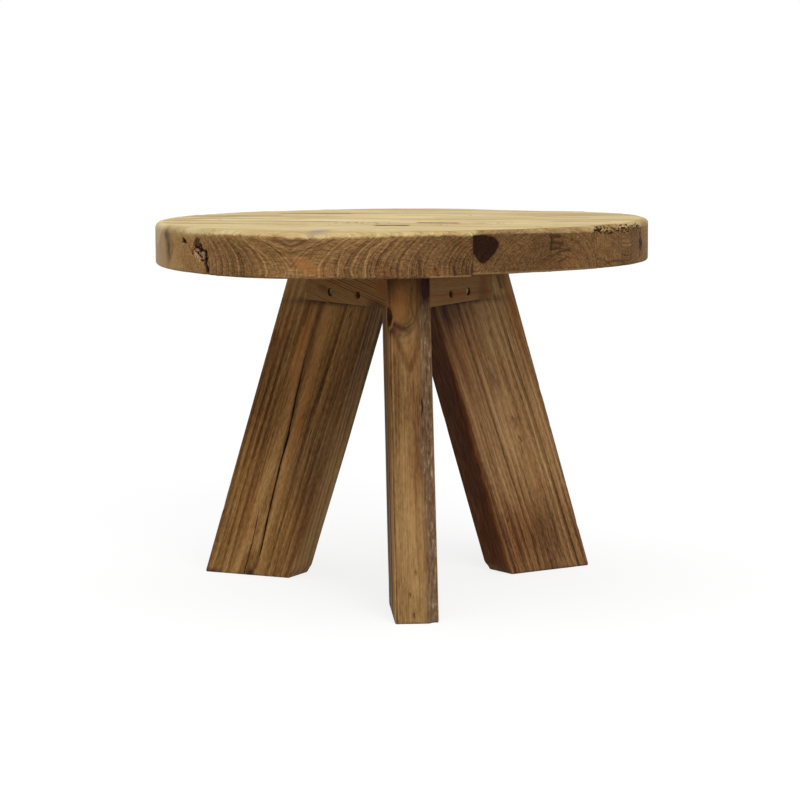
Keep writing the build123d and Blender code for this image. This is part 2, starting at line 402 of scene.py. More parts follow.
# Marks of the legs. Cracks and marks are paths of (place across the face, height). Marks
# have a half width and a darkness or, below zero, a lightness. Blobs have a centre in the
# board's frame, sizes and a strength. Growth is how much fuller the inner edge is than the
# solid's at two heights, the wane is the bark edge's place across the outer face at
# heights, and the hollow has a centre, a radius and a stretch in height.
LEFT = {
    "growth": ((60, 170), (2.5, 3.8)),
    "cracks": [
        {"face": "wide+", "width": 0.95, "depth": 3.5, "dark": 0.95, "closes": (190, 290),
         "path": [(59, 346), (59.7, 317), (61.6, 275), (59.3, 233), (54.8, 179), (54.6, 144), (52.7, 103),
                  (51.5, 70), (49.3, 42), (48, 18)]},
        {"face": "wide+", "width": 0.55, "depth": 1.5, "dark": 0.6,
         "path": [(68.5, 92), (67, 84), (64.3, 43), (64, 0)]},
        {"face": "inner", "width": 0.8, "depth": 2.0, "path": [(-21, 36), (-21, 18)]},
    ],
    "marks": [
        ([(60, 346), (60.5, 300), (60.2, 250), (57.0, 200), (55.6, 170)], 6.0, 0.62),
        ([(55.6, 170), (54.6, 144), (52.7, 103), (50, 50), (48.5, 10)], 3.2, 0.6),
        ([(66.5, 300), (64.5, 240), (60.0, 190), (59.5, 150), (57.5, 100), (55.5, 40)], 3.0, -0.4),
        (lean(86, 300, 50, 0.002), 2.4, 0.45), (lean(93, 310, 150, 0.0), 2.8, 0.5),
        (lean(103.5, 300, 140, -0.002), 3.2, 0.5), (lean(111, 310, 40, -0.002), 2.4, 0.45),
        (lean(75, 260, 120, 0.004), 2.0, 0.45), (lean(41, 350, 20, -0.012), 1.3, 0.34),
        (lean(34.5, 350, 90, -0.008), 1.2, 0.40), (lean(28, 352, 10, -0.006), 1.2, 0.34),
        (lean(22, 352, 140, -0.004), 1.2, 0.44), (lean(17, 230, 5, 0.0), 1.2, 0.32),
        (lean(11.5, 350, 30, 0.002), 1.5, 0.36), (lean(3.5, 350, 0, 0.004), 2.2, 0.32),
        (lean(71, 350, 150, 0.004), 2.2, 0.28), (lean(78.5, 352, 10, 0.003), 1.6, 0.34),
        (lean(87, 352, 40, 0.0), 1.4, 0.29), (lean(93, 352, 180, 0.0), 1.3, 0.29),
        (lean(100, 380, 5, -0.002), 1.3, 0.32), (lean(107, 380, 60, -0.002), 1.5, 0.34),
        ([(18.2, 338), (18.9, 330)], 1.6, 0.8), ([(42.2, 207), (43.8, 202)], 1.8, 0.6),
        ([(59.0, 58), (60.2, 54)], 1.8, 0.6), ([(75.6, 352), (76, 318)], 2.6, 0.55),
        ([(60.5, 338), (61.5, 326)], 4.5, 0.5),
    ],
    "bulge": [
        ((43.4, 25.5, 204), (9, 30, 22), 2.0), ((59.6, 25.5, 56), (10, 30, 22), 2.0),
        ((52, 25.5, 300), (16, 40, 90), 3.5),
    ],
    "warm": [
        ((71, 25.5, 285), (6, 20, 45), 0.75), ((50, 25.5, 330), (12, 20, 60), 0.4),
        ((46, 25.5, 215), (8, 20, 60), 0.45), ((100, 25.5, 150), (12, 20, 60), 0.2),
        ((14, 25.5, 60), (14, 20, 40), 0.2),
    ],
    "grime": [
        ((57, 25.5, 240), (9, 10, 90), 0.25), ((4, 25.5, 200), (6, 8, 260), 0.35),
        # The first blob on the next line, a thin band at height 348 under the corner block, is painted shadow.
        ((45, 25.5, 348), (60, 12, 4.5), 0.9), ((24, 25.5, 160), (14, 20, 60), 0.25),
        ((54.6, 25.5, 3), (4.5, 8, 6), 1.2), ((108, 25.5, 2), (12, 8, 3.5), 0.9),
    ],
    "stain_and_shade": [((-3.3, 13, 220), (4, 2.0, 170), 0.25), ((-3.3, -7, 150), (4, 2.6, 150), 0.25)],
    "tone": [
        ((26, 25.5, 240), (24, 30, 75), 0.22), ((10, 25.5, 120), (14, 20, 60), 0.22),
        # Painted shade darkens the top of the inner face, and painted light lightens its lower part.
        ((-3.3, 0, 330), (4, 60, 110), 0.12), ((-3.3, 0, 90), (4, 60, 130), -0.2),
        # The first blob on the next line is painted light: it lightens the head of the face, where the top shades
        # it.
        ((60, 25.5, 400), (90, 90, 60), -0.28), ((105, 25.5, 380), (18, 30, 50), -0.12),
        ((60, 25.5, 240), (90, 30, 70), 0.10), ((90, 25.5, 190), (30, 30, 70), 0.12),
    ],
}
RIGHT = {
    "growth": ((60, 320), (3.8, 2.7)),
    "cracks": [
        {"face": "wide-", "width": 0.45, "depth": 1.2, "dark": 0.6,
         "path": [(28.5, 92), (30.4, 72), (33.1, 15), (33.5, 6)]},
    ],
    "marks": [
        (lean(75, 350, 60, 0.046), 1.1, 0.32), (lean(84, 352, 20, 0.046), 1.3, 0.48),
        (lean(90, 352, 100, 0.044), 1.1, 0.36), (lean(96.5, 375, 20, 0.042), 1.2, 0.40),
        (lean(103, 380, 60, 0.036), 1.1, 0.34), (lean(69, 270, 20, 0.046), 1.0, 0.28),
        (lean(61, 352, 230, 0.05), 1.3, 0.28), (lean(47, 352, 130, 0.04), 1.1, 0.30),
        (lean(24, 352, 200, 0.03), 1.2, 0.34), (lean(17, 330, 20, 0.03), 1.0, 0.26),
        (lean(9, 352, 60, 0.02), 1.3, 0.32), (lean(36, 200, 10, 0.03), 1.0, 0.28),
        ([(48.8, 262), (50.2, 254), (53.5, 246), (56.5, 241)], 2.2, 0.45), ([(50.8, 256), (51.6, 251)], 2.2, 0.5),
        ([(63.6, 199), (65.6, 193), (66.0, 188)], 1.8, 0.7), ([(65.2, 174), (66.9, 168)], 1.7, 0.8),
        ([(36.2, 155), (36.8, 149)], 1.5, 0.7), ([(61.3, 68), (61.8, 61)], 1.3, 0.7),
        ([(65.4, 308), (66.2, 300)], 1.6, 0.6), ([(31.6, 298), (32.3, 290)], 1.6, 0.6),
        ([(15.4, 72), (16.1, 68)], 1.4, 0.9), ([(46, 47), (47, 37)], 2.4, 0.4),
        (lean(41, 350, 60, 0.04), 2.0, -0.35), (lean(55, 200, 40, 0.046), 2.4, -0.4),
        (lean(71, 350, 230, 0.046), 2.0, -0.35), ([(30, 346), (31.4, 338)], 1.8, 0.7),
        ([(39, 333), (40, 326)], 1.6, 0.6), ([(14, 326), (15, 316)], 1.6, 0.7), ([(46, 342), (47, 336)], 1.6, 0.6),
        ([(22, 306), (22.8, 299)], 1.4, 0.6), ([(8, 300), (8.8, 290)], 1.6, 0.5),
        ([(20, 352), (22, 330), (27, 318)], 3.5, 0.35), ([(99, 376), (99, 362)], 3.5, 0.7),
        ([(109, 345), (110, 325)], 1.8, 0.5),
    ],
    "bulge": [
        ((52, -25.5, 250), (10, 30, 30), 2.6), ((65, -25.5, 180), (9, 30, 28), 2.2),
        ((48, -25.5, 42), (8, 30, 24), 1.4),
    ],
    "warm": [
        ((-3.5, 0, 200), (3.2, 90, 400), 1.25), ((108, -25.5, 336), (6, 10, 50), 0.8),
        ((40, -25.5, 60), (16, 20, 40), 0.25), ((20, -25.5, 300), (16, 20, 90), 0.3),
    ],
    "grime": [
        ((24, -25.5, 338), (32, 20, 24), 0.5), ((9, -25.5, 330), (7, 20, 60), 0.5),
        # The first blob on the next line, a thin band at height 348.5 under the corner block, is painted shadow.
        ((45, -25.5, 348.5), (60, 12, 4), 0.8), ((24, -25.5, 260), (26, 20, 160), 0.22),
        ((99, -25.5, 385), (20, 40, 14), 0.5), ((52, -25.5, 245), (6, 10, 16), 0.35),
        ((46.5, -25.5, 42), (6, 10, 12), 0.3), ((75, -25.5, 0), (60, 8, 3.5), 0.5),
    ],
    # This blob darkens the whole inner face.
    "stain_and_shade": [((-3.5, 0, 200), (5.4, 90, 400), 1.0)],
    "tone": [
        ((-3.5, 0, 200), (4, 90, 400), 0.18), ((-3.5, 0, 350), (4, 60, 80), -0.3),
        # The first blob on the next line is painted light: it lightens the head of the face, where the top shades
        # it.
        ((60, -25.5, 400), (90, 30, 60), -0.4), ((60, -25.5, 40), (90, 30, 60), 0.36),
    ],
}
FRONT = {
    "wane": [
        (15.3, 400), (15.3, 356), (16.4, 300), (15.5, 240), (12.6, 200), (14.2, 175), (15.7, 149), (16.3, 95),
        (16.5, 42), (14.4, 0),
    ],
    "hollow": ((119.0, -31.5, 343.0), 12.2, 1.15),
    "cracks": [
        {"face": "outer", "width": 0.7, "depth": 1.8, "path": [(13.0, 252), (13.6, 240), (13.4, 228)], "ends": 6},
    ],
    "marks": [
        ([(-21, 330), (-16.3, 320.5), (-10, 304), (-5, 291), (-1.2, 282), (4, 293), (8.5, 307), (11, 320),
          (12, 332)], 5.0, 0.5),
        # Painted highlight: a light line round the hollow's edge.
        ([(-21.7, 356), (-18.7, 350), (-18.0, 343), (-18.8, 337), (-22.8, 329)], 1.7, -1.1),
        ([(-1.4, 284.5), (-1.6, 276)], 1.6, 0.3),
        ([(-18, 326), (-10, 309), (-2, 295), (4, 309), (8.5, 326)], 1.3, 0.25),
        ([(-18, 334), (-12, 331), (-7, 329.5)], 5.5, 0.75), ([(-22, 330), (-18, 324), (-15, 318)], 3.0, 0.5),
        ([(-7, 329), (-1, 331), (5.4, 336), (9, 345), (10.5, 356)], 2.6, 0.5),
        ([(-6, 325.5), (0, 327.5), (7, 333), (11, 342)], 1.3, 0.4), ([(-8, 334), (-3, 335), (3, 341)], 1.6, 0.45),
        ([(-20, 323), (-13, 323), (-7, 320), (0, 324), (8, 334)], 1.5, 0.4),
        ([(-16, 316), (-9, 313), (-4, 312), (3, 318)], 1.2, 0.25), ([(-7.2, 34), (-6.8, 30)], 1.5, 0.9),
        ([(-3.5, 12), (-3.2, 7.5)], 1.5, 0.9), ([(-0.4, 58.5), (0.3, 54.5)], 2.2, 0.7),
        (lean(-14, 270, 60, 0.0), 0.9, 0.2), (lean(-9, 262, 20, 0.0), 0.9, 0.22), (lean(3, 270, 10, 0.0), 0.9, 0.2),
        (lean(8, 300, 120, 0.0), 1.0, 0.25), (lean(-18.5, 310, 10, 0.0), 0.9, 0.22),
        (lean(-22.6, 395, 2, 0.0), 1.4, 0.75), ([(-12, 372), (-11.5, 352), (-9, 342)], 3.5, -0.3),
        ([(10.5, 374), (9.5, 352), (11, 330)], 1.6, 0.4), ([(4, 376), (2, 356), (5, 344)], 1.5, 0.4),
    ],
    "stain_and_shade": [
        # The first blob, at the head of the outer face under the top, is painted shade.
        ((116, -4, 396), (12, 24, 14), 0.75), ((114, 21, 378), (9, 6, 13), 0.8), ((116, -24, 330), (10, 5, 8), 0.4),
        ((116, 14, 385), (9, 6, 12), 0.5),
    ],
    "bulge": [((116, -6, 352), (40, 11, 26), 3.0)],
    "warm": [
        ((116, -11, 356), (12, 8, 18), 1.5), ((116, -2, 300), (12, 9, 18), 0.25),
        ((108, -25.5, 200), (12, 1.5, 400), 0.5),
    ],
    "grime": [
        ((112, 20, 390), (10, 7, 13), 1.2), ((112, 19.5, 372), (10, 6.5, 12), 1.7),
        ((116, -7, 327), (6, 12, 7), 0.4), ((116, -20.3, 327), (8, 4, 5), 0.7), ((116, -18, 385), (10, 8, 20), 0.5),
    ],
    "tone": [
        ((116, -9, 362), (12, 8, 20), -0.05), ((116, 0, 235), (30, 60, 60), 0.1),
        ((116, -25.5, 200), (200, 1.5, 300), 0.2), ((108, -25.5, 100), (16, 1.5, 120), -0.34),
        ((116, 0, 320), (30, 60, 26), -0.12),
    ],
}


# ---------------------------------------------------------------- planks
COS, SIN = math.cos(PLANK_ANGLE), math.sin(PLANK_ANGLE)


def along_plank(t, s):
    """Plan point from places along and across the planks."""
    return np.stack([t * COS - s * SIN, t * SIN + s * COS], -1)


def azimuth(x, y):
    """Degrees from the front, growing to the right."""
    return np.degrees(np.arctan2(x, -y))


def lookup(pairs, value):
    """Value of a line through (place, value) points."""
    return np.interp(value, [p[0] for p in pairs], [p[1] for p in pairs])


# By azimuth: size of the rim's upper arris, size of the lower one, inset of the rim
ARRIS_AT = [
    (-180, 5), (-118, 5), (-100, 6.2), (-86, 8.4), (-75, 7.5), (-50, 8.0), (-31, 9.5), (-20, 8), (-8, 6.5),
    (5, 5.0), (12, 5.0), (13, 3.5), (26, 4.0), (34, 5.5), (60, 6.0), (72, 5.5), (100, 4.5), (180, 5),
]
LOW_ARRIS_AT = [(-180, 3), (-96, 3.2), (-80, 3.2), (-56, 3), (180, 3)]
RIM_IN = [
    (-180, 0.3), (-120, 1.0), (-95, 2.0), (-78, 2.0), (-60, 1.2), (-40, 0.3), (0, 0.0), (40, 0.0), (70, 0.0),
    (95, 0.0), (130, 0.3), (180, 0.3),
]
# By azimuth: how far the underside lies lower, on the front plank and on the others
UNDER_1 = [(-51.5, 4.5), (-48, 4.75), (-43, 5.0), (-38.6, 5.0), (-36, 5.0), (-32, 4.95), (-30, 4.8), (11, 2.75)]
UNDER_2 = [
    (-110, 0.1), (-82, 1.8), (-75.6, 2.5), (-69, 3.0), (-64, 3.4), (-60, 3.6), (-57, 3.8), (-54, 4.1), (-51, 4.5),
    (-50, 3.75), (-30, 0.6), (12, 0.55), (21, 0.55), (25, 0.05), (60, 0.0),
]


def under_extra(plank, phi, rho):
    """How far the underside lies below its usual height."""
    if plank == 1:
        return lookup(UNDER_1, phi)
    return lookup(UNDER_2, phi) * smooth(rho, 205, 290)


# Stretches of the rim, from one azimuth to another, with the step in mm between columns
RIM_SECTIONS = [
    (-180, -95, 1.9), (-95, -76, 1.0), (-76, -48, 0.75), (-48, 44, 0.95), (44, 74, 0.75), (74, 95, 1.0),
    (95, 180, 1.9),
]
UPPER_ROWS, SIDE_ROWS, LOWER_ROWS = 9, 43, 5


def rim_columns():
    """Azimuths of the rim's columns."""
    places = []
    for low, high, step in RIM_SECTIONS:
        count = int(round((high - low) / 180 * math.pi * TOP_R / step))
        places += list(np.linspace(low, high, count, endpoint=False))
    return np.array(places)


RIM_COLUMNS = rim_columns()


def seam_azimuths(s, rho=TOP_R):
    """Left and right azimuths at which the line s meets the circle rho."""
    half = np.degrees(np.arccos(-s / rho))
    base = math.degrees(PLANK_ANGLE)
    return base - half, base + half


# Pits in the rim: (azimuth, height), half sizes in mm along the arc and up, depth, darkness of the painted shade in
# them
RIM_PITS = [
    ((-55.7, 433.6), (8.5, 6.2), 1.3, 0.66), ((-54.2, 429.0), (4.4, 3.4), 2.0, 0.8),
    ((-52.2, 420.0), (4.2, 6.0), 4.0, 1.0), ((67.8, 423.0), (9.5, 10.0), 0.4, 0.78),
    ((67.4, 434.0), (4.0, 9.0), 0.3, 0.5), ((67.2, 411.0), (3.6, 8.0), 0.3, 0.5),
]
# Holes in the rim: outline of (azimuth, height), depth and darkness of the painted shade in them
RIM_HOLES = [
    ([(-62.6, 430.6), (-59.6, 430.8), (-60.2, 434.4), (-61.6, 438.2), (-62.3, 436.4)], 5.0, 1.0),
    ([(-53.2, 415.5), (-51.3, 416), (-51.6, 409), (-51.0, 403), (-51.2, 396), (-52.7, 396), (-52.6, 403),
      (-53.2, 409)], 6.0, 1.0),
]


def broken_share(arc, z):
    """Where the knot beside the first seam's left end has broken out, from 0 to 1."""
    at, height = math.radians(-54.9) * TOP_R, 420.5
    ragged = fractal(noise_points(arc / 5, z / 5), 23, 2) - 0.5
    away = np.hypot((arc - at) / 17.5, (z - height + (arc - at) * 0.22) / 10.0) + 0.6 * ragged
    return 1 - smooth(away, 0.75, 1.0)


def rim_depth(phi, z):
    """How far the rim is cut in at places on it, and the painted shade that darkens the cuts."""
    arc = np.radians(phi) * TOP_R
    wob = fractal(noise_points(arc / 3, z / 3), 21, 2) - 0.5
    cuts = []
    for (at, height), (ra, rz), deep, shade in RIM_PITS:
        away = np.hypot((arc - math.radians(at) * TOP_R) / ra, (z - height) / rz) + 0.9 * wob
        cut = 1 - smooth(away, 0.55, 1.05)
        cuts.append((deep * cut, cut * shade))
    for outline, deep, shade in RIM_HOLES:
        cut = smooth(outline_distance(outline, arc, z) + 1.6 * wob, -0.5, 0.9)
        cuts.append((deep * cut, cut * shade))
    broken = broken_share(arc, z)
    lumps = fractal(noise_points(arc / 5.0, z / 3.4), 27, 2)
    cuts.append((broken * 4.5 * smooth(lumps, 0.30, 0.72), broken * 0.85 * smooth(lumps, 0.52, 0.64)))
    # Worm-eaten upper arris on the right
    zone = smooth(phi, 43.5, 46) * (1 - smooth(phi, 65, 69)) * smooth(z + 3.0 * wob, 438.5, 440.5)
    worm = fractal(noise_points(arc / 6.5, z / 3.6), 31, 2)
    gaps = smooth(noise(noise_points(arc / 12, z / 6), 33), 0.1, 0.3)
    cut = (1 - smooth(np.abs(worm - 0.5), 0.04, 0.085)) * gaps * smooth(zone, 0.2, 0.7)
    cuts.append((2.5 * cut, cut))
    nothing = np.zeros_like(arc)
    return tuple(np.maximum.reduce([nothing] + [pair[k] for pair in cuts]) for k in (0, 1))


def rim_profile(phi, plank):
    """Rows from the top's edge round the rim to the underside's edge: inset from the
    rim, height, and the outward normal, for each azimuth."""
    up = lookup(ARRIS_AT, phi)[:, None]
    low_r = lookup(LOW_ARRIS_AT, phi)[:, None]
    pulled = lookup(RIM_IN, phi)[:, None]
    bottom = UNDER_Z - under_extra(plank, phi, np.full_like(phi, TOP_R))[:, None]
    turn = np.radians(np.linspace(0, 90, UPPER_ROWS))[None, :]
    upper = (up * (1 - np.sin(turn)), TOP_Z - up * (1 - np.cos(turn)))
    share = np.linspace(0, 1, SIDE_ROWS)[1:-1][None, :]
    height = (TOP_Z - up) + (bottom + low_r - (TOP_Z - up)) * share
    side = (height * 0, height)
    turn2 = np.radians(np.linspace(0, 90, LOWER_ROWS))[None, :]
    lower = (low_r * (1 - np.cos(turn2)) + 0 * up, bottom + low_r * (1 - np.sin(turn2)))
    inset = np.concatenate([upper[0], side[0], lower[0]], 1) + pulled
    z = np.concatenate([upper[1], side[1], lower[1]], 1)
    n_out = np.concatenate([np.sin(turn) + 0 * up, height * 0 + 1, np.cos(turn2) + 0 * up], 1)
    n_up = np.concatenate([np.cos(turn) + 0 * up, height * 0, -np.sin(turn2) + 0 * up], 1)
    return inset, z, n_out, n_up


# Slits in the top: path along and across the planks, half width, depth, darkness of the painted shade in them
TOP_SLITS = [
    ([(4, -148.8), (22, -147.8), (38, -147.2), (50, -148.0), (60, -149.2)], 2.0, 3.5, 1.0),
    ([(38, -88.6), (56, -87.8), (76, -87.4), (104, -88.4)], 1.8, 3.5, 1.0),
    ([(106, -88.8), (122, -89.2), (140, -89.6)], 0.8, 1.2, 0.6),
    ([(-120, -150.0), (-90, -149.0), (-60, -149.6)], 0.6, 0.8, 0.4),
    ([(-150, 10.0), (-110, 11.5), (-70, 10.4)], 0.6, 1.0, 0.4),
    ([(-40, 84.0), (0, 85.6), (50, 84.4)], 0.7, 1.2, 0.45),
    ([(60, 140.0), (100, 141.2), (130, 140.0)], 0.6, 1.0, 0.4),
    ([(-90, 205.0), (-40, 206.4), (0, 205.2)], 0.7, 1.2, 0.4),
]
SLIT_ENDS = 14.0
SLIT_SIDES = (-9.0, -4.0, -2.6, -1.0, -0.5, 0.0, 0.5, 1.0, 2.6)
# Worm holes in the top: place along and across the planks, half sizes
TOP_HOLES = [
    (-49, -134, 1.2, 3.3), (-46, -119, 1.2, 3.9), (-40, -108, 1, 2.7), (-37, -98, 1.2, 4.4), (-33, -114, 1, 3.3),
    (-29, -88, 1.2, 3.3), (-25, -104, 1.3, 5), (-20, -94, 1, 3.3), (-16, -112, 1.2, 3.9), (-11, -101, 0.9, 2.7),
    (-6, -89, 1.3, 4.4), (1, -107, 1, 3.3), (6, -118, 1.2, 3.3), (11, -144, 1.2, 4.4), (18, -112, 1, 2.7),
    (87, -135, 1.5, 4.4), (96, -140, 1, 2.7), (144, -85, 1.3, 4.4), (151, -90, 1, 3.3), (160, -84, 0.9, 2.7),
    (60, 105, 1.2, 3.9), (213, -162, 1.2, 3.3), (206, -150, 0.9, 2.7), (-120, 84, 1, 3.3), (-214, -52, 1.2, 3.9),
]


def slit_width(t, width):
    return width * (0.5 + 0.9 * noise(noise_points(t / 6.0), 47))


def hole_share(t, s):
    """1 inside the worm holes, 0 outside."""
    share = np.zeros_like(t)
    for at, over, half_t, half_s in TOP_HOLES:
        away = np.hypot((t - at) / half_t, (s - over) / half_s)
        share = np.maximum(share, 1 - smooth(away, 0.6, 1.15))
    return share


def slit_cut(t, s):
    """Depth of the slits and the painted shade in and beside them, and the dip of the wood before them."""
    depth = np.zeros_like(t)
    dark = np.zeros_like(t)
    for path, width, deep, shade in TOP_SLITS:
        start, stop = path[0][0], path[-1][0]
        along = smooth(t, start - 1, start + SLIT_ENDS) * (1 - smooth(t, stop - SLIT_ENDS, stop + 1))
        side = (s - lookup(path, t)) / slit_width(t, width)
        dip = np.where(side < 0, np.exp(side / 3.0), 0.0) * 0.9 * along * shade
        notch = np.clip(1 - np.abs(side), 0, 1) ** 0.6 * along
        depth = np.maximum(depth, np.maximum(deep * notch, dip))
        dark = np.maximum(dark, np.clip(2.0 - np.abs(side - 0.3), 0, 1) * along * shade)
    return depth, dark


def top_depth(x, y):
    """How far the worn top dips: slow waves, and a hollow at the right of the back."""
    wave = fractal(noise_points(x / 140, y / 140), 41, 2)
    back = 1.7 * np.exp(-(((x - 185) / 85) ** 2 + ((y - 240) / 80) ** 2))
    return 0.3 * wave + back


def cap_triangles(loop, inner, lines):
    """Triangles of a flat region inside a closed loop, with further points and lines."""
    coords = [Vector(p) for p in loop]
    edges = [(i, (i + 1) % len(loop)) for i in range(len(loop))]
    for line in lines:
        first = len(coords)
        coords += [Vector(p) for p in line]
        edges += [(first + i, first + i + 1) for i in range(len(line) - 1)]
    coords += [Vector(p) for p in inner]
    out = delaunay_2d_cdt(coords, edges, [], 1, 1e-5)
    verts = np.array([tuple(v) for v in out[0]])
    origin = [ids[0] if ids else -1 for ids in out[3]]
    faces = [list(f) for f in out[2]]
    return verts, origin, faces


def hexes(low, high, step):
    """Staggered points over a box."""
    points = []
    rows = int((high[1] - low[1]) / (step * 0.866)) + 1
    columns = int((high[0] - low[0]) / step) + 1
    for j in range(rows):
        for i in range(columns):
            points.append((low[0] + (i + 0.5 * (j % 2)) * step, low[1] + j * step * 0.866))
    return np.array(points)


def plank_coords(p):
    """Places along and across the planks of points in plan."""
    return np.stack([p[:, 0] * COS + p[:, 1] * SIN, -p[:, 0] * SIN + p[:, 1] * COS], 1)


def edge_reach(plan, on_rim, s, side):
    """How far along the line s the rim's loop lies, to one side of the middle."""
    near = on_rim & (np.abs(plan[:, 1] - s) < 3.0) & (plan[:, 0] * side > 0)
    radius = np.hypot(*plan[near].T).min()
    return math.sqrt(radius**2 - s**2)


def edge_azimuth(side, s, rho):
    """Azimuth of the left or right end of the line s on the circle rho."""
    left, right = seam_azimuths(s, rho)
    return left if side == "L" else right


def wrap(angle):
    """The angle between -180 and 180 degrees."""
    return (angle + 180) % 360 - 180


def facing(face, points, direction):
    """The face, turned so that its normal goes with the direction."""
    p = points[face]
    normal = np.cross(p[1] - p[0], p[2] - p[0])
    return face if normal @ direction > 0 else face[::-1]


def rim_stretches(near, far):
    """A plank's stretches of the rim, growing to the right: side and seam at which each
    starts, side and seam at which it ends, and both azimuths."""
    if near == -math.inf:
        return [("L", far, "R", far, *seam_azimuths(far))]
    if far == math.inf:
        left, right = seam_azimuths(near)
        return [("R", near, "L", near, right, left + 360)]
    l_near, r_near = seam_azimuths(near)
    l_far, r_far = seam_azimuths(far)
    return [("R", near, "R", far, r_near, r_far), ("L", far, "L", near, l_far, l_near)]


# Places of the columns beside a seam, in degrees from it
END_OFFSETS = np.array([0.0, 0.35, 0.8, 1.6]) / TOP_R * 180 / math.pi
GROOVE_WIDE = 0.8
GROOVE_DEEP = 0.6
TOP_GROOVE_DEEP = 0.7
# Spacing of the points inside the top and the underside, and their distance from a seam
CAP_STEPS = (("top", 4.0), ("under", 14.0))
CAP_GAP = 2.6


def rim_strip(stretch, number):
    """Points of a stretch of the rim, by columns from the top down, and their darkness: painted shade in the cuts,
    and the dark seam joints.
    """
    side_a, s_a, side_b, s_b, start, end = stretch

    def seam_ends(r):
        """Azimuths of the end columns, which lie in the planes of their seams."""
        last = edge_azimuth(side_b, s_b, r[-1])
        return edge_azimuth(side_a, s_a, r[0]), last + 360 if end > 180 and side_b == "L" else last

    wide = np.concatenate([RIM_COLUMNS - 360, RIM_COLUMNS, RIM_COLUMNS + 360])
    inside = wide[(wide > start + END_OFFSETS[-1] * 1.4) & (wide < end - END_OFFSETS[-1] * 1.4)]
    phi = np.concatenate([start + END_OFFSETS, inside, end - END_OFFSETS[::-1]])
    share = (phi - start) / (end - start)
    inset, z, n_out, n_up = rim_profile(wrap(phi), number)
    rho = TOP_R - inset
    a, b = seam_ends(rho)
    az = a[None, :] + share[:, None] * (b - a)[None, :]
    flat_z = z.ravel()
    cut, dark = rim_depth(wrap(az).ravel(), flat_z)
    rough = fractal(noise_points(np.radians(az.ravel()) * TOP_R / 26, flat_z / 26), 51, 2)
    cut = (cut + 0.45 * rough).reshape(z.shape)
    to_seam = np.minimum(phi - start, end - phi) / 180 * math.pi * TOP_R
    groove = np.clip(1 - to_seam / GROOVE_WIDE, 0, 1)[:, None] * GROOVE_DEEP
    cut = cut + groove
    r = rho - n_out * cut
    az[0], az[-1] = seam_ends(r)
    rad = np.radians(az)
    points = np.stack([r * np.sin(rad), -r * np.cos(rad), z - n_up * cut], -1)
    return points, np.maximum(dark, (groove * 0.9 + 0 * z).ravel())


def seam_line(p_from, p_to):
    """New points between two rim points along a seam."""
    count = max(2, int(np.linalg.norm(p_to[:2] - p_from[:2]) / 4.0))
    t = np.linspace(0, 1, count + 1)[1:-1][:, None]
    return p_from + (p_to - p_from) * t


def top_features(inner, near, far):
    """A plank's inner points, with its slits' and holes' places cleared and the holes'
    own points added, and the lines of the slits."""
    lines = []
    for path, width, _, _ in TOP_SLITS:
        if not near < path[0][1] < far:
            continue
        ts = np.arange(path[0][0] - 2, path[-1][0] + 2.1, 2.0)
        centre = lookup(path, ts)
        taper = np.minimum(1, np.minimum(ts - ts[0], ts[-1] - ts) / 10.0 + 0.12)
        beside = np.abs(inner[:, 1] - path[0][1]) < 11.0
        inner = inner[~(beside & (inner[:, 0] > ts[0] - 3) & (inner[:, 0] < ts[-1] + 3))]
        lines += [list(zip(ts, centre + side * slit_width(ts, width) * taper)) for side in SLIT_SIDES]
    turn = np.linspace(0, 2 * math.pi, 12, endpoint=False)
    for at, over, half_t, half_s in TOP_HOLES:
        if not near + 4 < over < far - 4:
            continue
        away = np.hypot((inner[:, 0] - at) / (half_t + 1.6), (inner[:, 1] - over) / (half_s + 1.6))
        rings = [np.stack([at + half_t * k * np.cos(turn), over + half_s * k * np.sin(turn)], 1)
                 for k in (0.5, 0.85, 1.25)]
        inner = np.concatenate([inner[away > 1], [[at, over]]] + rings)
    return inner, lines


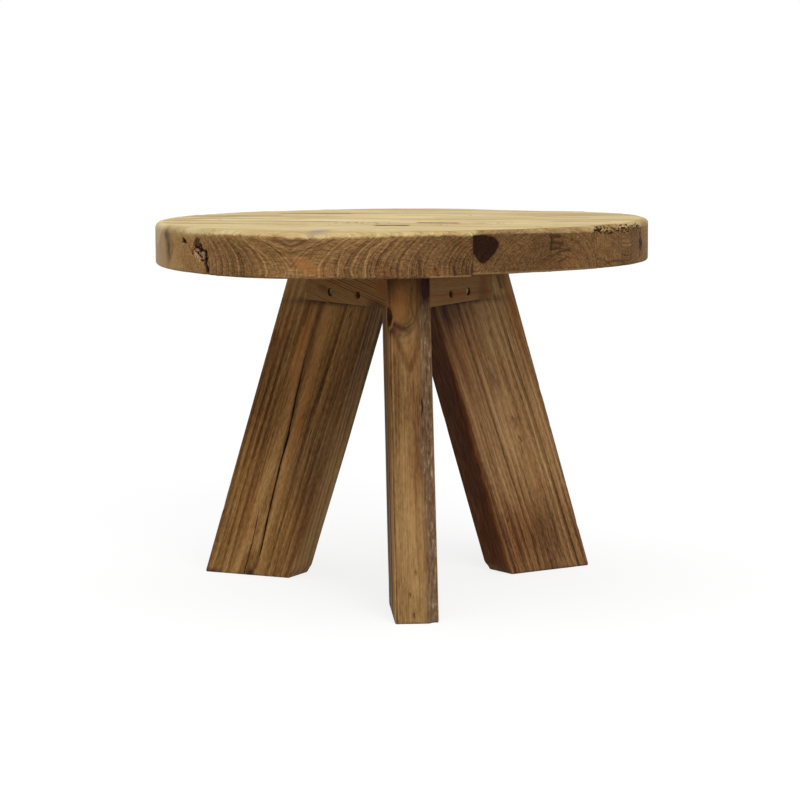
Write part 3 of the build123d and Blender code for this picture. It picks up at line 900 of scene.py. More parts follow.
def make_plank(number):
    """A plank as one mesh: its stretches of the rim, both caps and the walls at the seams."""
    near, far = ([-math.inf] + SEAMS + [math.inf])[number - 1 : number + 1]
    stretches = rim_stretches(near, far)
    points, dark, faces, tops, bottoms, walls = [], [], [], [], [], []
    base = 0
    for stretch in stretches:
        strip, shade = rim_strip(stretch, number)
        index = base + np.arange(strip[..., 0].size).reshape(strip.shape[:2])
        base += index.size
        points.append(strip.reshape(-1, 3))
        dark.append(shade)
        faces += [list(q) for q in grid_faces(index, flip=True)]
        tops.append(index[:, 0])
        bottoms.append(index[:, -1])
        walls += [(stretch[1], index[0]), (stretch[3], index[-1])]

    # Seam lines close the loops of the top and the underside
    rim_points = np.concatenate(points)
    seam_rows = {}
    loops = {"top": [], "under": []}
    for lid, chains in (("top", tops), ("under", bottoms)):
        for k, stretch in enumerate(stretches):
            first, last = chains[k][-1], chains[(k + 1) % len(chains)][0]
            line = seam_line(rim_points[first], rim_points[last])
            ids = list(base + np.arange(len(line)))
            base += len(line)
            points.append(line)
            dark.append(np.zeros(len(line)))
            loops[lid] += list(chains[k]) + ids
            seam_rows[(lid, stretch[3])] = (first, ids, last)
    points = np.concatenate(points)
    dark = np.concatenate(dark)

    # Caps
    for lid, step in CAP_STEPS:
        loop = loops[lid]
        plan = plank_coords(points[loop])
        on_rim = np.array(loop) < len(rim_points)
        inner = hexes(plan.min(0), plan.max(0), step)
        keep = np.hypot(inner[:, 0], inner[:, 1]) < TOP_R - 10 - step * 0.7
        keep &= (inner[:, 1] > near + CAP_GAP + 1.0) & (inner[:, 1] < far - CAP_GAP - 1.0)
        inner = inner[keep]
        lines = []
        for s, sign in ((near, 1), (far, -1)):
            if math.isinf(s):
                continue
            for off in ((GROOVE_WIDE, CAP_GAP) if lid == "top" else (CAP_GAP,)):
                beside = s + sign * off
                ends = [side * (edge_reach(plan, on_rim, beside, side) - 1.0) for side in (-1, 1)]
                count = max(3, int((ends[1] - ends[0]) / 4.0))
                lines.append([(t, beside) for t in np.linspace(*ends, count)])
        if lid == "top":
            inner, slits = top_features(inner, near, far)
            lines += slits
        verts, origin, tris = cap_triangles([tuple(p) for p in plan], inner, lines)
        mapping = []
        new = []
        for vert, source in zip(verts, origin):
            if 0 <= source < len(loop):
                mapping.append(loop[source])
            else:
                mapping.append(len(points) + len(new))
                new.append(vert)
        t, s = np.array(new).T
        plan_xy = along_plank(t, s)
        if lid == "top":
            cut, shade = slit_cut(t, s)
            holes = hole_share(t, s)
            height = TOP_Z - np.maximum(cut, 2.2 * holes)
            # The worm holes are darkened with painted shade.
            shade = np.maximum(shade, holes)
        else:
            height = UNDER_Z - under_extra(number, azimuth(*plan_xy.T), np.hypot(*plan_xy.T))
            shade = np.zeros(len(new))
        points = np.concatenate([points, np.column_stack([plan_xy, height])])
        dark = np.concatenate([dark, shade])
        outward = np.array([0, 0, 1 if lid == "top" else -1])
        faces += [facing([mapping[i] for i in tri], points, outward) for tri in tris]
    # The seam lines on the top sit in a fine groove
    for (lid, _), (_, ids, _) in seam_rows.items():
        if lid == "top":
            points[ids, 2] -= TOP_GROOVE_DEEP
            dark[ids] = 0.8

    # Walls along the seams
    across = np.array([-SIN, COS, 0])
    for s in dict.fromkeys(value for value, _ in walls):
        columns = [c for value, c in walls if value == s]
        first, ids, last = seam_rows[("top", s)]
        ids_under = seam_rows[("under", s)][1]
        col_first = next(c for c in columns if c[0] == first)
        col_last = next(c for c in columns if c[0] == last)
        loop = list(ids) + list(col_last) + list(ids_under[::-1]) + list(col_first[::-1])
        plan = [(plank_coords(points[i : i + 1])[0][0], points[i][2]) for i in loop]
        _, origin, tris = cap_triangles(plan, [], [])
        outward = across * (-1 if s == near else 1)
        for tri in tris:
            face = [loop[origin[i]] for i in tri if origin[i] >= 0]
            if len(face) > 2:
                faces.append(facing(face, points, outward))

    dip = top_depth(points[:, 0], points[:, 1]) + PLANK_DROPS[number]
    points[:, 2] -= dip * smooth(points[:, 2], 420, 446)
    piece = make_object(f"plank_{number}_board", points, faces, plank_channels(number, points, dark), sharp=40)
    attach(piece, "root")
    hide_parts(f"top_plank_{number}")
    return piece


def plank_channels(number, points, dark):
    """What the plank's material reads at the vertices."""
    z = points[:, 2]
    phi = azimuth(points[:, 0], points[:, 1])
    rho = np.hypot(points[:, 0], points[:, 1])
    arc = np.radians(phi) * TOP_R
    rim_place = np.stack([arc, z, TOP_R - rho], 1)
    top_place = plank_coords(points)
    on_rim = smooth(rho, TOP_R - 14, TOP_R - 5)
    on_top = smooth(z, 444, 447)

    # The sanded top's light tone and the rim's darker one meet in a ragged line
    light = lookup(SAND_AT, phi)
    teeth = fractal(noise_points((arc + 0.7 * z) / 3.4, z / 7.0), 61, 2) - 0.5
    slow = fractal(noise_points(arc / 19.0, z / 19.0), 63, 2) - 0.5
    light = light + lookup(RAGGED_AT, phi) * (teeth * 4.0 + slow * 3.0)
    sand = np.where(rho > 270, z - light, FAR)
    sand = np.where(z < 410, -FAR, sand)
    below = np.clip(light - z, 0, 60)
    sanded = smooth(sand, -1.0, 1.0)
    raw_tone = lookup(TONE_AT, phi) - lookup(FADE_AT, phi) * np.exp(-below / 5.5)
    tone = on_rim * (raw_tone * (1 - sanded) + lookup(ARRIS_TONE, phi) * sanded)
    tone = tone - 0.3 * (blob(top_place, (-35, 45), (75, 95)) * on_top)
    tone = tone + 0.12 * (1 - on_rim) * smooth(points[:, 0], 120, 230)
    channels = {"dark": dark, "sand": np.clip(sand, -FAR, FAR), "tone": tone,
                "broken": broken_share(arc, z) * on_rim}

    for channel in ("bulge", "warm", "grime"):
        channels[channel] = np.zeros(len(points))
        for only, (at, height), size, amount in RIM_BLOBS.get(channel, []):
            if number in only:
                centre = (math.radians(at) * TOP_R, height, 0)
                channels[channel] = channels[channel] + amount * blob(rim_place, centre, (*size, 60))
    if number == 1:
        cusp = np.exp(-np.abs(arc - math.radians(CUSP_AT) * TOP_R) / 34.0)
        channels["bulge"] = channels["bulge"] + 5.0 * cusp * on_rim

    rim_marks = [([(math.radians(a) * TOP_R, h) for a, h in path], *rest) for path, *rest in RIM_MARKS]
    mark = np.zeros(len(points))
    for marks, place, share in ((rim_marks, rim_place[:, :2], on_rim), (TOP_MARKS, top_place, on_top)):
        for path, width, amount in marks:
            mark = stronger(mark, stroke(place, path, width) * amount * share)
    channels["mark"] = mark
    for path, width, amount in TOP_FLUSH:
        channels["warm"] = channels["warm"] + stroke(top_place, path, width) * amount * on_top

    knot = np.full(len(points), -FAR)
    for only, outline, reach in RIM_KNOTS:
        if number in only:
            inside = outline_distance(outline, arc, z)
            knot = np.maximum(knot, inside - smooth(TOP_R - rho, reach, reach + 12) * 60)
    channels["knot"] = np.clip(knot, -FAR, FAR)
    return channels


def outline_distance(outline, arc, z):
    """Signed distance to a closed outline of (azimuth, height) points, positive inside."""
    poly = np.array([(math.radians(a) * TOP_R, h) for a, h in outline])
    p = np.stack([arc, z], 1)
    best = np.full(len(p), np.inf)
    inside = np.zeros(len(p), bool)
    for k in range(len(poly)):
        a, b = poly[k], poly[(k + 1) % len(poly)]
        ab = b - a
        t = np.clip(((p - a) @ ab) / (ab @ ab), 0, 1)
        best = np.minimum(best, np.hypot(*(p - a - t[:, None] * ab).T))
        crosses = (a[1] > p[:, 1]) != (b[1] > p[:, 1])
        x_at = a[0] + (p[:, 1] - a[1]) / (b[1] - a[1] + 1e-12) * ab[0]
        inside ^= crosses & (p[:, 0] < x_at)
    return np.where(inside, best, -best)


# How far each plank's top lies below the highest
PLANK_DROPS = {1: 0.45, 2: 0.1, 3: 0.4, 4: 0.05, 5: 0.25, 6: 0.0, 7: 0.1, 8: 0.0, 9: 0.3, 10: 0.1}
# Height at which the sanded top's light tone gives way to the rim's darker one
SAND_AT = [
    (-180, 444), (-104, 443), (-92, 424), (-84, 414), (-80, 424), (-76.5, 438), (-74, 442), (-60, 442.4),
    (-50, 443.0), (-43, 443.8), (-31, 443.4), (-27, 441.2), (-20, 442.2), (-13, 443.4), (-7, 444.2), (-2, 444.3),
    (2, 444.9), (6, 445.4), (12, 444.5), (13, 446.0), (24, 446.2), (28, 445.4), (33, 444.2), (45, 443.8),
    (56, 444.5), (70, 444.5), (90, 444), (180, 444),
]
# How much lighter the rim is just below that line, and how ragged the line is
FADE_AT = [
    (-180, 0.1), (-95, 0.1), (-70, 0.3), (-45, 0.3), (-30, 0.25), (-15, 0.25), (0, 0.2), (12, 0.0), (45, 0.0),
    (75, 0.2), (180, 0.1),
]
RAGGED_AT = [
    (-180, 0.5), (-90, 0.5), (-60, 0.6), (-30, 0.75), (0, 0.6), (11, 0.6), (13, 0.3), (45, 0.3), (70, 0.6),
    (180, 0.6),
]
# Blobs on the rim: the planks that have them, (azimuth, height), sizes in mm, strength
RIM_BLOBS = {
    "warm": [
        ((1,), (-25.3, 413), (12, 6), 0.9), ((1,), (-22.5, 405), (14, 5), 0.6), ((1,), (-29, 444), (22, 2.5), 0.5),
        ((1,), (5, 403.5), (12, 4), 0.35), ((3,), (37, 412), (14, 7), 0.3), ((1,), (-22.2, 449), (11, 4.0), -1.2),
        ((2, 3, 4), (-72, 423), (70, 30), 0.3), ((3, 4, 5), (-84, 420), (26, 30), 0.35),
    ],
    "grime": [
        ((2, 3), (-71.6, 438), (8, 7), 0.75), ((2, 3), (-69.8, 423), (7.5, 14), 0.75),
        ((1,), (-27, 437), (34, 3.5), 0.3), ((1,), (0.6, 415), (2.2, 14), 0.5), ((3,), (33.7, 431), (6, 3), 0.5),
        ((3,), (32.6, 441), (5, 3), 0.5), ((3,), (34.5, 424), (8, 1.6), 0.5),
    ],
}
# Lines on the rim: path of (azimuth, height), half width, darkness or, below zero, lightness
RIM_MARKS = [
    ([(-38, 441), (-34, 435), (-30.5, 429.5), (-27.8, 425.2), (-25, 428), (-21.5, 433), (-18, 440)], 1.3, 0.5),
    ([(-36, 435), (-32, 428), (-28.5, 420)], 1.1, 0.42),
    ([(-34.5, 441.5), (-30, 435.5), (-27.8, 432.5), (-24, 436)], 1.0, 0.4),
    ([(-30, 441), (-27.5, 438.5), (-23, 440.5)], 1.0, 0.35), ([(-40, 433), (-36, 424), (-33, 415)], 1.0, 0.35),
    ([(-29.5, 423), (-27.5, 417), (-26.5, 408)], 1.3, 0.4),
    ([(-44, 437), (-40, 426), (-38, 412), (-37, 400)], 0.9, -0.45),
    ([(-41, 441), (-37.5, 432), (-34, 421), (-32, 408)], 0.9, -0.4), ([(-33, 437), (-29.5, 430.5)], 0.8, -0.5),
    ([(-20, 436), (-22.5, 428), (-23.4, 418)], 1.0, 0.4),
    ([(-15, 440), (-18.5, 431), (-20, 420), (-20.3, 404)], 1.0, 0.35),
    ([(-12, 440), (-15.5, 430), (-16.8, 416), (-17, 400)], 0.9, -0.45),
    ([(-6, 441), (-9.8, 430), (-11, 415), (-11, 399)], 0.9, -0.5),
    ([(-70.0, 433), (-69.2, 425), (-69.4, 417)], 15.0, 0.3),
    ([(-67.6, 432), (-66.8, 427), (-67.2, 420), (-69.0, 412)], 2.8, 0.5),
    ([(-71.9, 429), (-71.8, 424), (-70.8, 417)], 2.2, 0.4), ([(-73.2, 430), (-73.4, 423), (-72.4, 414)], 2.4, -0.4),
    ([(-69.6, 431), (-68.8, 424)], 3.0, 0.6), ([(-70.6, 424), (-70.2, 417)], 2.0, -0.5),
    ([(-69.4, 417), (-69.0, 411)], 4.0, 0.55), ([(31.2, 442), (31.5, 434), (31.2, 426)], 3.2, 0.62),
    ([(31.0, 441), (33.6, 440)], 2.6, 0.6), ([(31.2, 433.5), (34.4, 432)], 3.0, 0.66),
    ([(31.2, 426.5), (33.8, 427)], 2.6, 0.55), ([(31.4, 418), (34, 423), (36.6, 424)], 2.4, 0.55),
    ([(38, 424), (40, 421), (42.0, 412)], 1.8, 0.35), ([(33.0, 411), (36, 416), (39, 413)], 2.0, 0.42),
    ([(48, 404.5), (51, 407), (55, 407), (57, 404.5)], 2.2, 0.6), ([(36.8, 441), (37.3, 434)], 1.4, 0.4),
    ([(43.5, 438), (44.5, 427), (44, 416)], 1.2, 0.35), ([(-0.3, 422), (0.6, 413), (0.8, 401)], 1.8, 0.45),
    # The two light lines on the next line, along the lower arris, are painted highlights.
    ([(3, 398.6), (11.6, 398.8)], 1.6, -0.5), ([(12.4, 401.2), (30, 401.2), (46, 401.2)], 1.6, -0.45),
    ([(4, 407), (4.5, 400)], 2.6, 0.6), ([(8, 408), (8.4, 400.6)], 2.8, 0.65), ([(10.8, 408), (11, 401)], 1.6, 0.6),
    ([(61.0, 438), (61.3, 424), (60.7, 409)], 3.6, 0.35), ([(48.5, 440), (49, 430), (48.4, 412)], 0.9, 0.25),
]
# Slow change of the rim's tone with the azimuth: lighter below zero, darker above. Far left, around -84, the
# lighter tone is partly the plank ends' lighter wood and partly painted light, where the rim turns away from the
# key lamp.
TONE_AT = [
    (-180, 0.1), (-100, 0.0), (-84, -1.8), (-76, -1.5), (-70, -0.55), (-60, -0.1), (-50, 0.06), (-40, 0.16),
    (-28, 0.12), (-20, 0.16), (-12, 0.12), (0, 0.26), (12, 0.32), (30, 0.26), (40, 0.16), (48, 0.14), (62, 0.17),
    (72, 0.04), (82, -0.08), (100, 0.1), (180, 0.1),
]
# The same on the sanded arris
ARRIS_TONE = [
    (-180, 0.2), (-110, 0.1), (-92, -0.9), (-80, -0.8), (-74, 0.1), (-66, 0.35), (-40, 0.18), (-18, 0.15),
    (0, 0.35), (12, 0.42), (14, 1.1), (28, 1.1), (34, 0.8), (62, 0.7), (80, 0.4), (180, 0.2),
]
# Lines on the top: path along and across the planks, half width, darkness
TOP_MARKS = [
    ([(-262, -76), (-160, -75), (-60, -76)], 9.0, 0.72), ([(-240, 62), (-180, 66)], 10.0, 0.56),
    ([(-190, 121), (-107, 122)], 11.0, 0.64), ([(14, 179), (84, 178)], 12.0, 0.32),
    ([(92, 186), (120, 182)], 9.0, 0.48), ([(150, 84), (216, 62)], 9.0, 0.4),
    ([(-210, -22), (-120, -14)], 8.0, 0.35), ([(40, 30), (150, 36)], 10.0, 0.35),
    ([(-30, 150), (40, 152)], 9.0, 0.16), ([(200, -30), (262, -34)], 9.0, 0.48),
]
# Flushed wood on the top, given the same way
TOP_FLUSH = [
    ([(-280, -78), (-266, -53), (-251, -22), (-231, 13)], 24.0, 0.5), ([(60, -40), (150, -46)], 16.0, 0.2),
    ([(-120, 40), (-20, 46)], 20.0, 0.15), ([(120, 120), (220, 112)], 18.0, 0.2),
]
# Sound knots in the rim: planks, outline of (azimuth, height), how far they reach inwards
RIM_KNOTS = [
    ((2,), [(12.3, 444.1), (15.0, 444.4), (17.1, 441.5), (18.1, 436.0), (18.1, 431.0), (17.0, 423.0), (15.7, 416.0),
            (14.7, 412.6), (13.8, 413.5), (13.0, 419.0), (12.3, 424.0)], 14.0),
]


# ---------------------------------------------------------------- materials
SPECULAR = 0.05


class Wire:
    """An output socket that takes part in sums. Numbers stand for constants."""

    def __init__(self, tree, socket):
        self.tree = tree
        self.socket = socket

    def _math(self, operation, *others, clamp=False):
        node = self.tree.nodes.new("ShaderNodeMath")
        node.operation = operation
        node.use_clamp = clamp
        for slot, value in enumerate((self,) + others):
            plug(self.tree, node.inputs[slot], value)
        return Wire(self.tree, node.outputs[0])

    def __add__(self, other):
        return self._math("ADD", other)

    def __sub__(self, other):
        return self._math("SUBTRACT", other)

    def __mul__(self, other):
        return self._math("MULTIPLY", other)

    def __truediv__(self, other):
        return self._math("DIVIDE", other)

    def floor(self):
        return self._math("FLOOR")

    def absolute(self):
        return self._math("ABSOLUTE")

    def root(self):
        return self._math("SQRT")

    def clamp(self):
        return self._math("ADD", 0.0, clamp=True)

    def smooth(self, low, high, to_low=0.0, to_high=1.0):
        node = self.tree.nodes.new("ShaderNodeMapRange")
        node.interpolation_type = "SMOOTHSTEP"
        for name, value in (("Value", self), ("From Min", low), ("From Max", high), ("To Min", to_low),
                            ("To Max", to_high)):
            plug(self.tree, node.inputs[name], value)
        return Wire(self.tree, node.outputs["Result"])


def plug(tree, socket, value):
    """A wire is linked to the socket, and all else is its value."""
    if isinstance(value, Wire):
        tree.links.new(value.socket, socket)
    else:
        socket.default_value = value


def cleared_tree(owner):
    """The empty node tree of a material or a world."""
    owner.use_nodes = True
    owner.node_tree.nodes.clear()
    return owner.node_tree


class Board:
    """Node builder of one wood material. Coordinates are the board's own, in mm: the
    first along the grain, the others across it, with the pith at zero."""

    def __init__(self, name, origin, grain, across):
        self.material = bpy.data.materials.new(name)
        self.tree = cleared_tree(self.material)
        self.grain = Vector(grain).normalized()
        across = Vector(across)
        across = (across - self.grain * across.dot(self.grain)).normalized()
        rotate = Matrix((self.grain, across, self.grain.cross(across)))
        coords = self.node("ShaderNodeTexCoord")
        mapping = self.node("ShaderNodeMapping")
        self.tree.links.new(coords.outputs["Object"], mapping.inputs["Vector"])
        mapping.inputs["Scale"].default_value = (1 / MM, 1 / MM, 1 / MM)
        mapping.inputs["Rotation"].default_value = rotate.to_euler()
        mapping.inputs["Location"].default_value = -(rotate @ Vector(origin))
        self.place = Wire(self.tree, mapping.outputs[0])

    def node(self, kind, **settings):
        node = self.tree.nodes.new(kind)
        for key, value in settings.items():
            setattr(node, key, value)
        return node

    def vector(self, operation, a, b):
        node = self.node("ShaderNodeVectorMath", operation=operation)
        plug(self.tree, node.inputs[0], a)
        plug(self.tree, node.inputs[1], b)
        return Wire(self.tree, node.outputs["Value" if operation == "DOT_PRODUCT" else "Vector"])

    def noise_node(self, socket, place, detail, rough, **settings):
        """A noise node that reads its place from the named socket."""
        node = self.node("ShaderNodeTexNoise", **settings)
        for name, value in ((socket, place), ("Scale", 1.0), ("Detail", detail), ("Roughness", rough)):
            plug(self.tree, node.inputs[name], value)
        return node

    def noise(self, place, periods, detail, rough=0.5, colour=False):
        """Noise from 0 to 1 in space, with its periods in mm along the board's axes."""
        scaled = self.vector("MULTIPLY", place, tuple(1.0 / p for p in periods))
        node = self.noise_node("Vector", scaled, detail, rough)
        return Wire(self.tree, node.outputs["Color"] if colour else node.outputs[0])

    def noise_line(self, value, detail, rough=0.5):
        """Noise from 0 to 1 along one value, period 1."""
        node = self.noise_node("W", value, detail, rough, noise_dimensions="1D")
        return Wire(self.tree, node.outputs[0])

    def chance(self, value):
        node = self.node("ShaderNodeTexWhiteNoise", noise_dimensions="1D")
        plug(self.tree, node.inputs["W"], value)
        return Wire(self.tree, node.outputs["Value"])

    def attribute(self, name):
        node = self.node("ShaderNodeAttribute", attribute_type="GEOMETRY", attribute_name=name)
        return Wire(self.tree, node.outputs["Fac"])

    def parts(self, vector):
        node = self.node("ShaderNodeSeparateXYZ")
        plug(self.tree, node.inputs[0], vector)
        return [Wire(self.tree, out) for out in node.outputs]

    def ramp(self, value, stops):
        node = self.node("ShaderNodeValToRGB")
        plug(self.tree, node.inputs[0], value)
        line = node.color_ramp
        while len(line.elements) < len(stops):
            line.elements.new(0.5)
        for element, (at, colour) in zip(line.elements, stops):
            element.position = at
            element.color = (*linear(colour), 1.0)
        return Wire(self.tree, node.outputs["Color"])

    def mix(self, share, a, b, blend="MIX"):
        node = self.node("ShaderNodeMix", data_type="RGBA", blend_type=blend)
        node.clamp_factor = True
        plug(self.tree, node.inputs["Factor"], share)
        for name, value in (("A", a), ("B", b)):
            socket = [s for s in node.inputs if s.name == name and s.type == "RGBA"][0]
            plug(self.tree, socket, value if isinstance(value, Wire) else (*linear(value), 1.0))
        return Wire(self.tree, [s for s in node.outputs if s.type == "RGBA"][0])

    def finish(self, colour, roughness, height, depth):
        shader = self.node("ShaderNodeBsdfPrincipled")
        bump = self.node("ShaderNodeBump")
        bump.inputs["Strength"].default_value = 1.0
        bump.inputs["Distance"].default_value = depth
        plug(self.tree, bump.inputs["Height"], height)
        self.tree.links.new(bump.outputs[0], shader.inputs["Normal"])
        plug(self.tree, shader.inputs["Base Color"], colour)
        plug(self.tree, shader.inputs["Roughness"], roughness)
        shader.inputs["Specular IOR Level"].default_value = SPECULAR
        out = self.node("ShaderNodeOutputMaterial")
        self.tree.links.new(shader.outputs[0], out.inputs["Surface"])
        return self.material


def linear(colour):
    """Linear light of an sRGB colour given from 0 to 255."""
    shares = [c / 255 for c in colour]
    return tuple(c / 12.92 if c <= 0.04045 else ((c + 0.055) / 1.055) ** 2.4 for c in shares)


WOOD_BUMP = 0.00035
KNOT_SWIRL = 2.5
KNOT_COLOURS = [(0.3, (18, 8, 3)), (0.48, (34, 18, 9)), (0.62, (54, 31, 16)), (0.8, (92, 60, 34))]
SHARD_COLOURS = [(0.30, (40, 26, 17)), (0.42, (104, 62, 40)), (0.50, (140, 96, 64)), (0.57, (196, 172, 132)),
                 (0.66, (110, 70, 46))]
BARK_COLOURS = [(0.32, (60, 43, 34)), (0.46, (98, 75, 57)), (0.58, (122, 97, 76)), (0.7, (168, 144, 118))]


def wood(name, origin, grain, across, look):
    """Solid wood: growth rings round the pith, fibres, pores, stains and wear, with painted shade and painted
    highlights in places.
    """
    w = Board(name, origin, grain, across)
    seed = look["seed"]
    place = w.vector("ADD", w.place, (seed * 913.0, 0.0, 0.0))
    bent = w.place
    for periods, reach in (((230, 60, 60), look["bend"]), ((34, 9, 9), look["ripple"])):
        shift = w.vector("SUBTRACT", w.noise(place, periods, 1.5, colour=True), (0.5, 0.5, 0.5))
        bent = w.vector("ADD", bent, w.vector("MULTIPLY", shift, (0.0, reach, reach)))
    _, b, c = w.parts(bent)
    knot = w.attribute("knot")
    radius = (b * b + c * c).root() + w.attribute("bulge")
    radius = radius + knot.smooth(-9.0, 0.0) * KNOT_SWIRL
    uneven = (w.noise_line(radius / (look["ring"] * 5.0) + seed * 3.1, 1.0) - 0.5) * look["uneven"]
    count = radius / look["ring"] + uneven
    ring = count.floor()
    part = count - ring
    tone = w.chance(ring + seed * 7.0)
    late = part.smooth(0.25, 0.86) * part.smooth(0.90, 1.0, 1.0, 0.0)
    early = part.smooth(0.0, 0.16, 1.0, 0.0)
    line = early * part.smooth(0.0, 0.04) * w.chance(ring + seed * 9.0).smooth(0.2, 0.8)
    sub = w.noise_line(count * 5.0 + seed, 2.0, 0.6) - 0.5
    broad = w.noise_line(radius / look["broad"] + seed * 5.0, 1.0) - 0.5
    streak = w.noise(place, (260, 6.5, 6.5), 3.0, 0.6) - 0.5
    fibre = w.noise(place, (46, 1.3, 1.3), 2.0, 0.6) - 0.5
    grit = w.noise(place, (8.0, 2.2, 2.2), 2.0, 0.6) - 0.5
    speck = w.noise(place, (7.0, 0.55, 0.55), 1.0)
    pores = speck.smooth(0.60, 0.74) * (early * 0.8 + 0.35)
    cloud = w.noise(place, (120, 34, 34), 2.0) - 0.5
    geometry = w.node("ShaderNodeNewGeometry")
    normal = Wire(w.tree, geometry.outputs["True Normal"])
    end = w.vector("DOT_PRODUCT", normal, tuple(w.grain)).absolute().smooth(0.35, 0.95)

    value = (
        late * (tone * 1.1 + 0.35) * look["rings"]
        - line * look["lines"]
        + w.attribute("tone")
        + sub * look["sub"]
        + broad * look["broad_share"]
        + streak * look["streak"]
        + fibre * look["fibre"]
        + grit * look["grit"]
        + pores * look["pores"]
        + cloud * look["cloud"]
        + look["level"]
    )
    colour = w.ramp(value, look["colours"])
    if "sanded" in look:
        ragged = (w.noise(place, (5.0, 2.0, 2.0), 2.0) - 0.5) * 1.6 + (tone - 0.5) * 0.8
        sand = (w.attribute("sand") + ragged).smooth(-1.9, 1.6)
        flat_value = value * look["sanded_share"] + look["sanded_level"]
        stripe = w.noise(place, (300, 40, 40), 4.0, 0.6) - 0.5
        bare = w.ramp(flat_value + stripe * look["stripe"], look["sanded"])
        colour = w.mix(sand, colour, bare)
    # Slow drifts of hue, flushed or greyed places and the tint of end grain
    hue = w.noise(place, (150, 26, 26), 2.0)
    colour = w.mix(hue.smooth(0.52, 0.72) * look["red"], colour, (214, 150, 120), "MULTIPLY")
    colour = w.mix(hue.smooth(0.28, 0.46, 1.0, 0.0) * look["olive"], colour, (196, 196, 160), "MULTIPLY")
    warm = w.attribute("warm")
    colour = w.mix(warm.clamp() * 0.6, colour, (178, 116, 62))
    colour = w.mix((warm * -1.0).clamp() * 0.65, colour, (150, 134, 134))
    colour = w.mix(end * look["end"], colour, (150, 140, 130), "MULTIPLY")
    # Daubs: light tints cover the wood, and dark ones darken it; some dark ones are stains, and some are painted
    # shade in holes and along edges
    for centre, size, share, tint in look.get("daubs", []):
        away = w.vector("MULTIPLY", w.vector("SUBTRACT", w.place, centre), tuple(1.0 / k for k in size))
        near = w.vector("DOT_PRODUCT", away, away).root().smooth(0.35, 1.0, share, 0.0)
        colour = w.mix(near, colour, tint, "MIX" if sum(tint) > 400 else "MULTIPLY")
    # The broken knot, and the sound one with its dark rim
    speckle = w.noise(place, (3.0, 2.0, 2.0), 3.0, 0.7)
    scratch = w.noise(w.place, (30.0, 30.0, 0.7), 2.0, 0.6)
    heart = w.ramp(speckle * 0.6 + w.noise_line(radius / 1.3, 1.0) * 0.25 + scratch * 0.15, KNOT_COLOURS)
    shards = w.ramp(w.noise(place, (5.5, 5.5, 4.5), 2.0, 0.6), SHARD_COLOURS)
    colour = w.mix(w.attribute("broken").smooth(0.35, 0.8) * 0.9, colour, shards)
    rim = knot.smooth(-2.2, 0.6) * knot.smooth(0.4, 2.4, 1.0, 0.0)
    colour = w.mix(rim * 0.75, colour, (60, 38, 22))
    in_knot = knot.smooth(-0.4, 0.8)
    colour = w.mix(in_knot, colour, heart)
    # Marks: dark and darkest above zero, light below. Some are painted shade in hollows and painted highlights on
    # edges
    mark = w.attribute("mark")
    worn = w.noise(place, (26, 2.6, 2.6), 2.0) * 1.1 + 0.42
    colour = w.mix((mark * worn).clamp() * 0.95, colour, (118, 86, 56), "MULTIPLY")
    colour = w.mix(((mark * worn - 0.55) * 1.3).clamp() * 0.9, colour, (56, 28, 9))
    colour = w.mix((mark * worn * -1.0).clamp() * 0.8, colour, (202, 160, 106))
    # Bark, grime with painted shadow, and the darkness of cracks and holes, which is painted shade
    bark = w.ramp(w.noise(place, (13, 2.6, 2.6), 3.0, 0.65), BARK_COLOURS)
    colour = w.mix(w.attribute("bark") * 0.85, colour, bark)
    grime = (w.attribute("grime") * (w.noise(place, (40, 5, 5), 3.0) * 1.2 + 0.35)).clamp()
    colour = w.mix(grime, colour, (66, 44, 40))
    dark = w.attribute("dark")
    colour = w.mix(dark.smooth(0.0, 0.6) * 0.6, colour, (110, 74, 44), "MULTIPLY")
    colour = w.mix(dark.smooth(0.35, 0.9) * 0.93, colour, (30, 17, 9))
    rough = (value * 0.12 + 0.56 + fibre * 0.2).clamp()
    height = late * -0.35 + sub * 0.25 + fibre * 0.55 + pores * -0.9 + streak * 0.25 + speckle * in_knot * 0.5
    return w.finish(colour, rough, height, WOOD_BUMP)


# A look says how strongly each part of the figure shows. "ring" is the spacing of the growth
# rings in mm, "bend" and "ripple" how far they wander, and "colours" go from light to dark.
LEG_LOOK = dict(
    bend=6.0, ripple=0.8, ring=6.5, uneven=2.6, rings=0.24, lines=0.12, sub=0.24, broad=13.0, broad_share=0.5,
    streak=0.7, fibre=0.5, pores=0.22, cloud=0.4, level=0.30, red=0.3, olive=0.2, grit=0.7, end=0.35,
    colours=[(0.0, (176, 138, 88)), (0.3, (148, 110, 64)), (0.55, (116, 82, 45)), (0.8, (82, 54, 28)),
             (1.0, (52, 32, 15))],
)
FRONT_LOOK = dict(
    LEG_LOOK, seed=8, rings=0.16, streak=0.35, level=0.50, ring=5.0, fibre=0.3, grit=0.4, cloud=0.55,
    colours=[(0.0, (198, 163, 113)), (0.3, (175, 139, 92)), (0.55, (148, 114, 71)), (0.8, (106, 76, 44)),
             (1.0, (70, 46, 24))],
)
# The blocks' colours are lighter than the legs' wood, as painted light that makes up for the shade the blocks sit
# in under the top.
BLOCK_LOOK = dict(
    LEG_LOOK, rings=0.45, lines=0.3, level=0.18, streak=1.2, sub=0.6, grit=0.9, fibre=0.8, olive=0.0,
    uneven=2.0, bend=9.0,
    colours=[(0.0, (255, 200, 118)), (0.3, (255, 176, 92)), (0.55, (236, 142, 68)), (0.8, (170, 96, 44)),
             (1.0, (88, 46, 20))],
)
# Painted light: lighter colours that make up for the shade under the top.
BLOCK_REDS = [(0.0, (255, 196, 120)), (0.3, (255, 174, 96)), (0.55, (240, 144, 72)), (0.8, (174, 98, 46)),
              (1.0, (92, 48, 20))]
